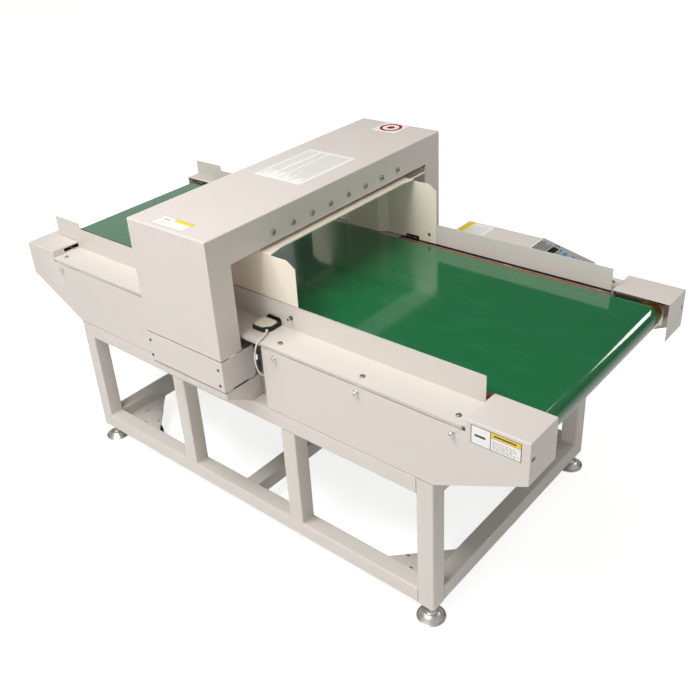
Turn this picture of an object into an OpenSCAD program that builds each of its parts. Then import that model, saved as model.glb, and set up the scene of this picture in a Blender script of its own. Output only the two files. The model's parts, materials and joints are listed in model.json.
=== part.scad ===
/* [Frame] */
// Length of the welded tube frame
frame_len = 1400; // [1300:10:1500]
// Width of the welded tube frame over its tubes
frame_w = 824; // [800:2:860]
// Height of the top of the frame above the floor
frame_h = 471; // [440:1:520]
// Height of the underside of the bottom rails
rail_z = 54; // [50:1:70]
// Side of the square tube
tube = 50; // [45:1:55]
// Wall of the square tube
tube_wall = 2.5; // [1.5:0.5:4]
// Corner radius of the square tube
tube_r = 4; // [3:0.5:6]
// Distance of the inner legs' centres from the middle
inner_leg_x = 227; // [150:1:300]
// Leg length of the triangular corner plates
corner_plate_leg = 186; // [180:1:200]
// Thickness of the corner plates
corner_plate_t = 6; // [4:1:8]
// Height of the corner plates above the rails' underside
corner_plate_lift = 3; // [3:0.5:5]

/* [Feet and casters] */
// Diameter of the levelling foot pads
foot_d = 80; // [60:1:90]
// Height of the domed foot pad
foot_h = 23; // [18:1:28]
// Radius of the threaded foot stud
stud_r = 6; // [5:0.5:8]
// Length of the stud above the pad
stud_len = 76; // [60:1:80]
// Thickness of the foot's lock nut
foot_nut_t = 8; // [5:1:10]
// Distance of each caster from the frame's inner corner
caster_in = 70; // [68:1:75]
// Radius of the caster wheels
wheel_r = 23; // [20:0.5:23.5]
// Width of the caster wheels
wheel_w = 18; // [14:1:22]
// Trail from the swivel axis to the wheel axle
caster_trail = 42; // [40:0.5:44]
// Height of the caster wheels above the floor
wheel_lift = 4; // [3:0.5:4.5]
// Turn of the casters at rest from the conveyor's direction, in degrees
caster_turn = 15; // [0:1:30]

/* [Conveyor] */
// Offset of the belt's centre line from the frame's middle
bed_y = 6; // [0:1:8]
// Height of the belt's carrying face above the frame
belt_rise = 219; // [214:1:223]
// Distance of the belt's edges inside the frame's outer faces
belt_margin = 124; // [120:1:130]
// Thickness of the belt
belt_t = 2; // [1.5:0.5:3]
// Radius of the end rollers
roller_r = 34; // [30:0.5:36]
// Reach of the end rollers' axes past the frame's ends
roller_out = 186; // [175:1:190]
// Reach of the end rollers' drums past each edge of the belt
roller_reach = 20; // [12:1:22]
// Radius of the roller shafts
shaft_r = 10; // [8:0.5:12]
// Wall of the end rollers' tube
roller_wall = 4; // [3:0.5:6]
// Radius of the return rollers
return_r = 16; // [12:1:18]
// Distance of the return rollers inside the frame's ends
return_off = 270; // [220:5:320]
// Thickness of the slider boards
board_t = 12; // [8:1:14]
// Reach of the slider boards past each edge of the belt
board_reach = 12; // [8:1:22]
// Distance of the bed sides outside the belt's edges
web_margin = 42; // [38:1:46]
// Sheet thickness of the bed sides
web_t = 4; // [3:0.5:5]
// Height of the underside of the bed sides above the frame
web_lift = 9; // [8:1:19]
// Reach of the bed sides past the end rollers' axes
web_past = 32; // [29:1:36]
// Side of the square cross bars under the slider boards
cross_bar = 30; // [25:1:32]

/* [Drive] */
// Distance of the gearmotor's axis inside the frame's end
motor_off = 140; // [100:5:160]
// Side of the square gearbox
gearbox = 84; // [70:2:90]
// Length of the gearbox
gearbox_len = 70; // [60:2:80]
// Radius of the motor body
motor_r = 38; // [32:1:42]
// Length of the motor body
motor_len = 120; // [90:5:150]
// Pitch radius of the pulley on the gearmotor
motor_pulley_r = 24; // [20:1:28]
// Pitch radius of the pulley on the drive roller
drive_pulley_r = 30; // [26:1:32]
// Width of the toothed drive belt
drive_belt_w = 14; // [10:1:16]
// Thickness of the toothed drive belt
drive_belt_t = 3; // [2:0.5:4]
// Thickness of the bearing blocks
block_t = 26; // [20:1:28]
// Length of the bearing blocks along the conveyor
block_len = 60; // [50:2:70]
// Height of the bearing blocks
block_h = 42; // [36:2:44]
// Radius of the take-up screws
takeup_r = 4; // [3:0.5:5]

/* [Covers and guides] */
// Thickness of the folded sheet
sheet = 2; // [1.5:0.5:2.5]
// Reach of the end covers past the end rollers' axes
cover_past = 46; // [43:1:59]
// Extra length of the right end's caps
right_cap_more = 10; // [0:1:16]
// Gap between the side covers and the top rails
cover_lift = 2; // [0.5:0.5:3]
// Length of the end caps along the conveyor
cap_len = 147; // [132:1:160]
// Height of the end caps' top above the belt
cap_rise = 11; // [8:1:15]
// Gap between the belt's edges and the end caps
cap_gap = 12; // [8:1:18]
// Drop of the covers' lower edge at their ends below the belt
cover_end_drop = 100; // [90:1:110]
// Gap between the head and the side covers
cover_gap = 59; // [50:1:70]
// Drop of the deck beside the guides below the belt
deck_drop = 10; // [6:1:14]
// Depth of the deck's folded lip
lip = 12; // [10:1:16]
// Distance of the guides' inner faces outside the belt's edges
guide_margin = 30; // [28:0.5:34]
// Height of the guides' top above the belt
guide_rise = 63; // [50:1:80]
// Distance of the guides' right end before the end caps
guide_short = 9; // [5:1:25]
// Reach of the guides' left end over the end caps
guide_past = 105; // [75:1:115]
// Height of the raised flap at the guides' left end above the belt
flap_rise = 81; // [70:1:95]
// Length of the raised flap before the end caps
flap_before = 28; // [20:1:35]

/* [Head] */
// Left face of the detecting head
head_x0 = -203; // [-215:1:-190]
// Right face of the detecting head
head_x1 = 101; // [90:1:110]
// Reach of the detecting head past each side of the frame
head_reach = 90; // [80:1:103]
// Height of the detecting head's top above the belt
head_rise = 293; // [270:1:320]
// Height of the underside of the head's beam above the belt
beam_rise = 201; // [198:1:210]
// Width of each leg of the head
head_leg = 78; // [72:1:84]
// Drop of the joint of the head shell and the lower covers below the belt
joint_drop = 48; // [40:1:55]
// Reach of the lower covers inside the frame's outer faces
lower_reach = 27; // [17:1:32]
// Height of the base brackets
base_h = 68; // [64:1:74]
// Height of the base brackets' outer lip
base_lip = 20; // [18:1:28]
// Reach of the base brackets inside the frame's outer faces
base_reach = 46; // [40:1:48]
// Inset of the base brackets from the head's outer faces
base_side_in = 4; // [2:1:12]
// Gap between the tunnel liner's top and the head's beam
liner_gap = 6; // [5:1:16]
// Drop of the tunnel liner's lower edge below the belt's face
liner_drop = 2; // [0.5:0.5:3]
// Distance from the head's middle to the ends of the liner's side plates
liner_side = 263; // [240:1:280]
// Distance from the head's middle to the ends of the liner's top plate
liner_top = 172; // [162:1:190]
// Depth of the raised panels inside the liner
panel_depth = 19; // [8:1:20]

/* [Detectors] */
// Gap between the detecting units' ends and the head's faces
unit_end_gap = 22; // [20:1:32]
// Height of the lower detecting unit
lower_unit_h = 54; // [40:1:56]
// Gap between the lower detecting unit and the guides' inner faces
lower_unit_gap = 2; // [1:1:6]
// Reach of the upper detecting unit past the guides' inner faces
upper_unit_reach = 12; // [1:1:22]

/* [Photoelectric sensor] */
// Distance of the photoelectric sensor's middle past the head
eye_past = 20; // [17:1:29]
// Length of the sensor body along the conveyor
eye_len = 54; // [44:1:56]
// Depth of the sensor body across the conveyor
eye_dep = 58; // [50:1:64]
// Height of the sensor body
eye_h = 17; // [14:1:20]
// Diameter of the sensor lead
lead_d = 4.6; // [4:0.2:5]

/* [Control box] */
// Distance of the control box past the head
box_past = 99; // [89:1:109]
// Length of the control box's flat top
box_flat = 262; // [250:1:280]
// Length of the sloping panel along the conveyor
panel_run = 178; // [173:1:198]
// Width of the control box
box_w = 114; // [104:1:130]
// Height of the control box's top above the frame
box_rise = 219; // [213:1:229]
// Depth of the control box
box_h = 145; // [130:1:160]
// Drop of the sloping panel over its length
panel_drop = 41; // [30:1:50]
// Thickness of the operating panel
panel_t = 3; // [2:0.5:4]
// Length of the keys across the panel
key_l = 16; // [12:0.5:18]
// Width of the keys
key_w = 12; // [8:0.5:14]
// Height of the pressed keys above the panel
key_h = 2.5; // [1.5:0.5:3.5]
// Travel of the keys
key_travel = 1.5; // [1:0.1:2]

/* [Fasteners] */
// Radius of the cap screws' heads
cap_head_r = 6.5; // [4:0.5:7]
// Height of the cap screws' heads
cap_head_h = 8; // [5:0.5:10]
// Radius of the cap screws' shanks
cap_shank_r = 4; // [2:0.5:4]
// Radius of the button screws' heads on the head's beam
beam_screw_r = 7; // [5:0.5:8]
// Pitch of the screws along the head's beam
beam_pitch = 78; // [70:1:84]
// Height of the screws above the underside of the head's beam
beam_screw_rise = 32; // [24:1:44]
// Radius of the button screws' heads on the deck
deck_screw_r = 6; // [4:0.5:7]
// Radius of the small screws' heads on the lower covers
small_screw_r = 3.4; // [2.5:0.1:4]

/* [Hidden] */
$fn = 64;

// Colours
paint_c = "#d9d3c7";
cream_c = "#f3ecd6";
belt_c = "#1f7a48";
zinc_c = "#c9ccce";
yellow_zinc_c = "#d9a441";
board_c = "#a8552f";
black_c = "#222222";
blue_c = "#2f7fc4";

// Overrun of every cut past its face
cut = 1;
// Gap between pieces that rest close together without touching
rest_gap = 0.3;
// Radial clearance of running fits
run_gap = 0.08;
// Clearance of screws in their holes
hole_gap = 0.3;
// Height of the small screws' heads
small_head_h = 1.8;
near = -1;
far = 1;
left = -1;
right = 1;
sides = [near, far];
ends = [left, right];

// Widths that follow from the frame's
belt_w = frame_w - 2 * belt_margin;
roller_w = belt_w + 2 * roller_reach;
board_w = belt_w + 2 * board_reach;
web_in = belt_w / 2 + web_margin;
guide_in = belt_w / 2 + guide_margin;
cap_in = belt_w / 2 + cap_gap;
lower_unit_half = guide_in - lower_unit_gap;
upper_unit_half = guide_in + upper_unit_reach;
head_w = frame_w + 2 * head_reach;
base_w = head_w - 2 * base_side_in;
lower_in = frame_w / 2 - lower_reach;
base_in = frame_w / 2 - base_reach;

// Places along the conveyor
roller_x = frame_len / 2 + roller_out;
web_half = roller_x + web_past;
cover_half = roller_x + cover_past;
cap_x = cover_half - cap_len;
centre_x = right_cap_more / 2;
guide_right = cap_x - guide_short;
guide_left = cap_x + guide_past;
flap_x = cap_x - flap_before;
return_x = frame_len / 2 - return_off;
motor_x = frame_len / 2 - motor_off;
eye_x = head_x1 + eye_past;
box_x0 = head_x1 + box_past;
box_x1 = box_x0 + box_flat;
box_x2 = box_x1 + panel_run;

// Heights
belt_top = frame_h + belt_rise;
web_z = frame_h + web_lift;
base_z = frame_h + base_h;
box_z = frame_h + box_rise;
cap_z = belt_top + cap_rise;
cover_end_z = belt_top - cover_end_drop;
deck_z = belt_top - deck_drop;
guide_z = belt_top + guide_rise;
flap_z = belt_top + flap_rise;
head_z = belt_top + head_rise;
beam_z = belt_top + beam_rise;
beam_screw_z = beam_z + beam_screw_rise;
joint_z = belt_top - joint_drop;
liner_z = beam_z - liner_gap;
liner_low = belt_top - liner_drop;

// Places that follow from the driving dimensions
head_mid = (head_x0 + head_x1) / 2;
unit_len = head_x1 - head_x0 - 2 * unit_end_gap;
box_back = frame_w / 2 + 2 * sheet;
box_front = box_back + box_w;
centre_y = (box_front - head_w / 2 - small_head_h) / 2;
cover_in_y = frame_w / 2 - sheet;
belt_in = belt_top - belt_t - rest_gap;
roller_z = belt_in - roller_r;
belt_r = roller_r + rest_gap;
return_z = roller_z - belt_r - belt_t - rest_gap - return_r;
bar_top = belt_in - board_t;
flange_z = deck_z - sheet;
foot_x = frame_len / 2 - tube / 2;
foot_y = frame_w / 2 - tube / 2;
caster_x = frame_len / 2 - tube - caster_in;
caster_y = frame_w / 2 - tube - caster_in;
cover_x0 = [-(head_x0 - cover_gap), head_x1 + cover_gap];

function side_y(side, dist) = bed_y + side * dist;
function end_index(end) = end == left ? 0 : 1;
function cover_start(end) = cover_x0[end_index(end)];
function cover_end(end) = end == left ? cover_half : cover_half + right_cap_more;
function head_face(end) = end == left ? head_x0 : head_x1;
function screw_count(end) = end == left ? 2 : 3;
// The control box stands in front of the far right cover's inner screws
function first_screw(end, side) = end == right && side == far ? 2 : 0;

// Screw places along each side cover, from the cover's inner edge outwards
screw_inset = 49;
screw_cap_gap = 33;
function cover_screw_x(end, i) = end * (cover_start(end) + screw_inset
    + i * (cap_x - screw_cap_gap - cover_start(end) - screw_inset) / (screw_count(end) - 1));
cover_screw_drop = 33;
cover_screw_z = deck_z - cover_screw_drop;
deck_screw_in = 26;

// Moves a piece from the frame's middle to the model's own origin
module placed() {
    translate([-centre_x, -centre_y, 0]) children();
}

// Block between two opposite corners, given in any order
module block(a, b) {
    lo = [for (i = [0:2]) min(a[i], b[i])];
    hi = [for (i = [0:2]) max(a[i], b[i])];
    translate(lo) cube(hi - lo);
}

module along_y(y0, y1) {
    translate([0, max(y0, y1), 0]) rotate([90, 0, 0]) linear_extrude(abs(y1 - y0)) children();
}

module along_x(x0, x1) {
    translate([min(x0, x1), 0, 0]) rotate([90, 0, 90]) linear_extrude(abs(x1 - x0)) children();
}

module rod_y(x, y0, y1, z, r) {
    translate([x, max(y0, y1), z]) rotate([90, 0, 0]) cylinder(h = abs(y1 - y0), r = r);
}

module rod_x(x0, x1, y, z, r) {
    translate([min(x0, x1), y, z]) rotate([0, 90, 0]) cylinder(h = abs(x1 - x0), r = r);
}

// Frame tubes
module round_square(s, r) {
    square([s, s - 2 * r], center = true);
    square([s - 2 * r, s], center = true);
    for (i = [-1, 1], j = [-1, 1]) translate([i * (s / 2 - r), j * (s / 2 - r)]) circle(r = r, $fn = 32);
}

module tube_section(s = tube, wall = tube_wall, r = tube_r) {
    difference() {
        round_square(s, r);
        square(s - 2 * wall, center = true);
    }
}

module tube_upright(x, y, z0, z1) {
    translate([x, y, z0]) linear_extrude(z1 - z0) tube_section();
}

module tube_along(x0, x1, y, z) {
    translate([0, y, z]) along_x(x0, x1) tube_section();
}

module tube_across(x, y0, y1, z) {
    translate([x, 0, z]) along_y(y0, y1) tube_section();
}

plug_t = 5;

module tube_plug(x, y, z, hole_r) {
    translate([x, y, z]) difference() {
        linear_extrude(plug_t) square(tube - 2 * tube_wall, center = true);
        if (hole_r > 0) translate([0, 0, -cut]) cylinder(h = plug_t + 2 * cut, r = hole_r);
    }
}

module legs() {
    color(paint_c) placed() {
        for (sx = ends, sy = sides) {
            tube_upright(sx * foot_x, sy * foot_y, rail_z, frame_h);
            tube_plug(sx * foot_x, sy * foot_y, rail_z, stud_r + run_gap);
            tube_plug(sx * foot_x, sy * foot_y, frame_h - plug_t, 0);
            tube_upright(sx * inner_leg_x, sy * foot_y, rail_z + tube, frame_h - tube);
        }
    }
}

module long_rails() {
    color(paint_c) placed() {
        for (sy = sides, z = [rail_z + tube / 2, frame_h - tube / 2])
            tube_along(-frame_len / 2 + tube, frame_len / 2 - tube, sy * foot_y, z);
    }
}

module cross_rails() {
    inner = frame_w / 2 - tube;
    color(paint_c) placed() {
        for (x = [-foot_x, 0, foot_x]) tube_across(x, -inner, inner, rail_z + tube / 2);
        for (x = [-foot_x, foot_x]) tube_across(x, -inner, inner, frame_h - tube / 2);
    }
}

// Corner plates and casters
plate_hole_along = 35;
plate_hole_across = 23;
plate_bolt_r = 2.5;
caster_plate_l = 92;
caster_plate_w = 66;
caster_plate_t = 3;
corner_plate_z = rail_z + corner_plate_lift;
caster_top_z = corner_plate_z - caster_plate_t;

module at_caster(sx, sy) {
    translate([sx * caster_x, sy * caster_y, 0]) children();
}

// Turns a pattern so that it runs along the corner plate's long edge
module square_to_corner(sx, sy) {
    rotate([0, 0, sx * sy > 0 ? 135 : 45]) children();
}

// The fork and wheel of a caster, as they stand at rest
module at_fork(sx, sy) {
    at_caster(sx, sy) rotate([0, 0, -caster_turn]) children();
}

module plate_bolt_places(sx, sy) {
    at_caster(sx, sy) square_to_corner(sx, sy)
        for (i = [-1, 1], j = [-1, 1])
            translate([i * plate_hole_along, j * plate_hole_across, 0]) children();
}

module corner_plates() {
    in_x = frame_len / 2 - tube;
    in_y = frame_w / 2 - tube;
    color(paint_c) placed() for (sx = ends, sy = sides) difference() {
        translate([0, 0, corner_plate_z]) linear_extrude(corner_plate_t) polygon([
            [sx * in_x, sy * in_y],
            [sx * (in_x - corner_plate_leg), sy * in_y],
            [sx * in_x, sy * (in_y - corner_plate_leg)]
        ]);
        plate_bolt_places(sx, sy) translate([0, 0, corner_plate_z - cut])
            cylinder(h = corner_plate_t + 2 * cut, r = plate_bolt_r + hole_gap);
    }
}

bolt_head_r = 4.6;
bolt_head_t = 2.4;
plate_nut_t = 4;
raceway_r = 18;
raceway_t = 3;

module caster_plates() {
    color(zinc_c) placed() for (sx = ends, sy = sides) {
        difference() {
            at_caster(sx, sy) {
                square_to_corner(sx, sy) translate([0, 0, caster_top_z]) linear_extrude(caster_plate_t)
                    square([caster_plate_l, caster_plate_w], center = true);
                translate([0, 0, caster_top_z - raceway_t]) cylinder(h = raceway_t, r = raceway_r);
            }
            plate_bolt_places(sx, sy) translate([0, 0, caster_top_z - cut])
                cylinder(h = caster_plate_t + 2 * cut, r = plate_bolt_r + hole_gap);
        }
        plate_bolt_places(sx, sy) {
            translate([0, 0, caster_top_z - bolt_head_t]) cylinder(h = bolt_head_t, r = bolt_head_r);
            translate([0, 0, caster_top_z])
                cylinder(h = caster_plate_t + corner_plate_t, r = plate_bolt_r);
            translate([0, 0, corner_plate_z + corner_plate_t])
                cylinder(h = plate_nut_t, r = bolt_head_r, $fn = 6);
        }
    }
}

fork_t = 2.5;
fork_gap = 1;
axle_r = 4;
axle_z = wheel_lift + wheel_r;
fork_top = caster_top_z - raceway_t - rest_gap;
fork_disc_t = 4;

module caster_fork(sx, sy) {
    cheek = wheel_w / 2 + fork_gap;
    color(yellow_zinc_c) placed() at_fork(sx, sy) {
        translate([0, 0, fork_top - fork_disc_t]) cylinder(h = fork_disc_t, r = raceway_r);
        for (s = [-1, 1]) {
            along_y(s * cheek, s * (cheek + fork_t)) union() {
                polygon([
                    [-raceway_r / 2, fork_top - fork_disc_t],
                    [-raceway_r / 2, fork_top],
                    [raceway_r / 2, fork_top],
                    [caster_trail + axle_r * 2, axle_z],
                    [caster_trail, axle_z - axle_r * 2]
                ]);
                translate([caster_trail, axle_z]) circle(r = axle_r * 2);
            }
        }
        rod_y(caster_trail, -cheek - fork_t, cheek + fork_t, axle_z, axle_r);
    }
}

wheel_rim_share = 0.7;
wheel_groove_share = 0.125;

module caster_wheel(sx, sy) {
    rim_r = wheel_r * wheel_rim_share;
    groove = wheel_w * wheel_groove_share;
    color(black_c) placed() at_fork(sx, sy) translate([caster_trail, 0, axle_z]) rotate([90, 0, 0])
        rotate_extrude() polygon([
            [axle_r + run_gap, -wheel_w / 2],
            [rim_r / 2, -wheel_w / 2],
            [rim_r / 2, -wheel_w / 2 + groove],
            [rim_r, -wheel_w / 2 + groove],
            [rim_r, -wheel_w / 2],
            [wheel_r - groove, -wheel_w / 2],
            [wheel_r, -wheel_w / 2 + groove],
            [wheel_r, wheel_w / 2 - groove],
            [wheel_r - groove, wheel_w / 2],
            [rim_r, wheel_w / 2],
            [rim_r, wheel_w / 2 - groove],
            [rim_r / 2, wheel_w / 2 - groove],
            [rim_r / 2, wheel_w / 2],
            [axle_r + run_gap, wheel_w / 2]
        ]);
}

// Levelling feet
foot_rim_t = 4;
foot_hub_r = 12;
foot_hub_share = 0.86;
foot_rim_shares = [1.4, 1.2];
foot_dome_r_shares = [0.55, 0.42];
foot_dome_h_shares = [0.62, 0.78];
foot_nut_share = 1.75;

module foot(sx, sy) {
    r = foot_d / 2;
    color(zinc_c) placed() translate([sx * foot_x, sy * foot_y, 0]) {
        rotate_extrude() polygon([
            [0, 0],
            [r - foot_rim_t / 2, 0],
            [r, foot_rim_t / 2],
            [r, foot_rim_t],
            [r - foot_rim_t, foot_rim_t * foot_rim_shares[0]],
            [r - foot_rim_t * 2, foot_rim_t * foot_rim_shares[1]],
            [r * foot_dome_r_shares[0], foot_h * foot_dome_h_shares[0]],
            [r * foot_dome_r_shares[1], foot_h * foot_dome_h_shares[1]],
            [foot_hub_r, foot_h * foot_hub_share],
            [foot_hub_r, foot_h],
            [0, foot_h]
        ]);
        translate([0, 0, foot_h]) cylinder(h = stud_len, r = stud_r);
    }
}

module foot_nuts() {
    color(zinc_c) placed() for (sx = ends, sy = sides) difference() {
        translate([sx * foot_x, sy * foot_y, rail_z - foot_nut_t])
            cylinder(h = foot_nut_t, r = stud_r * foot_nut_share, $fn = 6);
        translate([sx * foot_x, sy * foot_y, rail_z - foot_nut_t - cut])
            cylinder(h = foot_nut_t + 2 * cut, r = stud_r + run_gap);
    }
}

// Conveyor bed
web_slope_x = frame_len / 2;
web_end_z = roller_z - roller_r;
web_hole_gap = 4;
web_hole_r = shaft_r + web_hole_gap;
takeup_slot = 12;
rib_t = 6;
rib_from_cover = [28, 90];
rib_from_end = 230;
rib_x = [for (end = ends) each [end * (cover_start(end) + rib_from_cover[end_index(end)]),
    end * (frame_len / 2 - rib_from_end)]];
rib_foot = 50;
post_plate_in = 42;
post_plate_y = frame_w / 2 - post_plate_in;
post_plate_gap = 4;
post_plate_past = 6;
flange_t = 4;
tab_w = 30;
tab_drop = 48;
takeup_y_in = 15;
takeup_plate_t = 4;
takeup_plate_h = 46;
stub_r = 6;
web_notch_rise = 21;
web_notch_z = base_z + web_notch_rise;
web_notch_gap = 9;
motor_hole_gap = 3;
bar_places_share = [-0.946, -0.605, -0.297, 0.176, 0.583, 0.946];

module bed_side(side) {
    y_in = side_y(side, web_in);
    y_web = side_y(side, web_in + web_t);
    y_out = side * cover_in_y;
    notch_half = beam_off + beam_tube / 2 + web_notch_gap;
    difference() {
        union() {
            along_y(y_in, y_web) polygon([
                [-web_half, web_end_z],
                [-web_slope_x, web_z],
                [head_mid - notch_half, web_z],
                [head_mid - notch_half, web_notch_z],
                [head_mid + notch_half, web_notch_z],
                [head_mid + notch_half, web_z],
                [web_slope_x, web_z],
                [web_half, web_end_z],
                [web_half, flange_z],
                [-web_half, flange_z]
            ]);
            block([-cap_x + sheet, y_web, flange_z - flange_t], [cap_x - sheet, y_out, flange_z]);
            for (x = rib_x) {
                block([x - rib_t / 2, y_web, frame_h], [x + rib_t / 2, y_out, flange_z - flange_t]);
                block([x - rib_foot / 2, y_web, frame_h], [x + rib_foot / 2, y_out, frame_h + flange_t]);
            }
            // Plates that close the gaps between the head and the side covers
            for (end = ends)
                block([head_face(end) + end * post_plate_gap, side * post_plate_y, frame_h],
                    [end * (cover_start(end) + post_plate_past), side * (post_plate_y - web_t),
                        flange_z - flange_t]);
            for (end = ends, i = [first_screw(end, side):screw_count(end) - 1])
                block([cover_screw_x(end, i) - tab_w / 2, y_out - side * web_t, flange_z - tab_drop],
                    [cover_screw_x(end, i) + tab_w / 2, y_out, flange_z]);
            block([web_half - takeup_plate_t, y_web, roller_z - takeup_plate_h / 2],
                [web_half, y_out - side * sheet, roller_z + takeup_plate_h / 2]);
        }
        rod_y(-roller_x, y_in - side * cut, y_web + side * cut, roller_z, web_hole_r);
        for (dx = [-takeup_slot, takeup_slot])
            rod_y(roller_x + dx, y_in - side * cut, y_web + side * cut, roller_z, web_hole_r);
        block([roller_x - takeup_slot, y_in - side * cut, roller_z - web_hole_r],
            [roller_x + takeup_slot, y_web + side * cut, roller_z + web_hole_r]);
        for (end = ends)
            rod_y(end * return_x, y_in - side * cut, y_web + side * cut, return_z, stub_r + run_gap);
        rod_x(web_half - takeup_plate_t - cut, web_half + cut, takeup_y(side), roller_z,
            takeup_r + run_gap);
        for (end = ends, i = [first_screw(end, side):screw_count(end) - 1])
            rod_y(cover_screw_x(end, i), y_out - side * (web_t + cut), y_out + side * cut,
                cover_screw_z, cap_shank_r + hole_gap);
        for (end = ends, i = [0:screw_count(end) - 1])
            translate([cover_screw_x(end, i), side * (frame_w / 2 - deck_screw_in),
                flange_z - flange_t - cut])
                cylinder(h = flange_t + 2 * cut, r = deck_shank_r + hole_gap);
        if (side == near) {
            rod_y(lead_hole_x, y_in - side * cut, y_web + side * cut, lead_hole_z,
                lead_d / 2 + hole_gap);
            rod_y(-motor_x, y_in - side * cut, y_web + side * cut, motor_z, output_r + motor_hole_gap);
        }
    }
}

function takeup_y(side) = side * (frame_w / 2 - takeup_y_in);

module bed_sides() {
    color(zinc_c) placed() for (side = sides) bed_side(side);
}

module bed_cross_bars() {
    color(zinc_c) placed() for (s = bar_places_share)
        translate([s * cap_x, 0, bar_top - cross_bar / 2])
            along_y(side_y(near, web_in), side_y(far, web_in))
                tube_section(cross_bar, tube_wall, tube_r);
}

board_cap_gap = 2;
board_unit_gap = 6;

module slider_boards() {
    z0 = belt_in - board_t;
    x_end = cap_x - board_cap_gap;
    unit_0 = head_mid - unit_len / 2 - board_unit_gap;
    unit_1 = head_mid + unit_len / 2 + board_unit_gap;
    y0 = side_y(near, board_w / 2);
    y1 = side_y(far, board_w / 2);
    color(board_c) placed() {
        block([-x_end, y0, z0], [unit_0, y1, belt_in - rest_gap]);
        block([unit_1, y0, z0], [x_end, y1, belt_in - rest_gap]);
    }
}

module belt_path(r) {
    square([2 * roller_x, 2 * r], center = true);
    for (sx = ends) translate([sx * roller_x, 0]) circle(r = r, $fn = 96);
}

module conveyor_belt() {
    color(belt_c) placed() translate([0, 0, roller_z])
        along_y(side_y(near, belt_w / 2), side_y(far, belt_w / 2)) difference() {
            belt_path(belt_r + belt_t);
            belt_path(belt_r);
        }
}

// Rollers
disc_t = 8;

module drum(x, z, r, wall, half, end_r, y0, y1) {
    difference() {
        rod_y(x, side_y(near, half), side_y(far, half), z, r);
        rod_y(x, side_y(near, half - disc_t), side_y(far, half - disc_t), z, r - wall);
    }
    rod_y(x, y0, y1, z, end_r);
}

shaft_past_block = 2;
shaft_end = web_in + web_t + block_t + shaft_past_block;
pulley_flange_t = 2;
pulley_flange = 3;
pulley_w = drive_belt_w + 2 * pulley_flange_t + 2 * rest_gap;
pulley_gap = 4;
pulley_in = web_in + web_t + block_t + pulley_gap;
pulley_out = pulley_in + pulley_w;

module drive_roller() {
    color(yellow_zinc_c) placed() drum(-roller_x, roller_z, roller_r, roller_wall, roller_w / 2, shaft_r,
        side_y(near, pulley_out + shaft_past_block), side_y(far, shaft_end));
}

module tail_roller() {
    color(yellow_zinc_c) placed() drum(roller_x, roller_z, roller_r, roller_wall, roller_w / 2, shaft_r,
        side_y(near, shaft_end), side_y(far, shaft_end));
}

return_wall = 2;
return_short = 3;
return_half = roller_w / 2 - return_short;

module return_roller(end) {
    color(zinc_c) placed() drum(end * return_x, return_z, return_r, return_wall, return_half, stub_r,
        side_y(near, web_in + web_t + shaft_past_block), side_y(far, web_in + web_t + shaft_past_block));
}

ear_t = 14;

module bearing_block(end, side) {
    y0 = side_y(side, web_in + web_t);
    y1 = side_y(side, web_in + web_t + block_t);
    x = end * roller_x;
    difference() {
        union() {
            block([x - block_len / 2 + takeup_slot, y0, roller_z - block_h / 2],
                [x + block_len / 2 - takeup_slot, y1, roller_z + block_h / 2]);
            if (end == right)
                block([x - ear_t / 2, y0, roller_z - block_h / 2 + ear_t / 2],
                    [x + ear_t / 2, side * (cover_in_y - sheet), roller_z + block_h / 2 - ear_t / 2]);
        }
        rod_y(x, y0 - side * cut, side * (cover_in_y + cut), roller_z, shaft_r + run_gap);
    }
}

module bearing_blocks() {
    color(black_c) placed() for (end = ends, side = sides) bearing_block(end, side);
}

takeup_head_t = 6;
takeup_head_share = 1.8;

module takeup_screws() {
    x0 = roller_x + ear_t / 2;
    color(zinc_c) placed() for (side = sides) {
        rod_x(x0, web_half, takeup_y(side), roller_z, takeup_r);
        translate([web_half, takeup_y(side), roller_z]) rotate([0, 90, 0])
            cylinder(h = takeup_head_t, r = takeup_r * takeup_head_share, $fn = 6);
    }
}

// Drive
bracket_t = 6;
bracket_len = 130;
motor_face_gap = 6;
motor_face_in = web_in - motor_face_gap;
motor_z = frame_h + bracket_t + gearbox / 2;
output_r = 8;
output_in = 20;
fan_len = 26;
fan_share = 0.95;

module gearmotor() {
    y0 = side_y(near, motor_face_in);
    y1 = y0 + gearbox_len;
    color("#6f7f8a") placed() {
        difference() {
            block([-motor_x - gearbox / 2, y0, motor_z - gearbox / 2],
                [-motor_x + gearbox / 2, y1, motor_z + gearbox / 2]);
            rod_y(-motor_x, y0 - cut, y0 + output_in + rest_gap, motor_z, output_r + run_gap);
        }
        rod_y(-motor_x, y1, y1 + motor_len, motor_z, motor_r);
        rod_y(-motor_x, y1 + motor_len, y1 + motor_len + fan_len, motor_z, motor_r * fan_share);
    }
}

module motor_bracket() {
    y0 = -frame_w / 2 + sheet;
    y1 = side_y(near, motor_face_in) + gearbox_len + motor_len / 2;
    x0 = -motor_x - bracket_len / 2;
    x1 = -motor_x + bracket_len / 2;
    color(paint_c) placed() {
        block([x0, y0 + tube / 4, frame_h], [x1, y1, frame_h + bracket_t]);
        for (x = [x0, x1 - bracket_t])
            block([x, -frame_w / 2 + tube, frame_h - tube / 2], [x + bracket_t, y1, frame_h]);
    }
}

module pulley(x, z, r, bore) {
    y0 = side_y(near, pulley_out);
    rim = r - drive_belt_t;
    difference() {
        union() {
            rod_y(x, y0, y0 + pulley_w, z, rim);
            rod_y(x, y0, y0 + pulley_flange_t, z, r + pulley_flange);
            rod_y(x, y0 + pulley_w - pulley_flange_t, y0 + pulley_w, z, r + pulley_flange);
        }
        if (bore > 0) rod_y(x, y0 - cut, y0 + pulley_w + cut, z, bore);
    }
}

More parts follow.
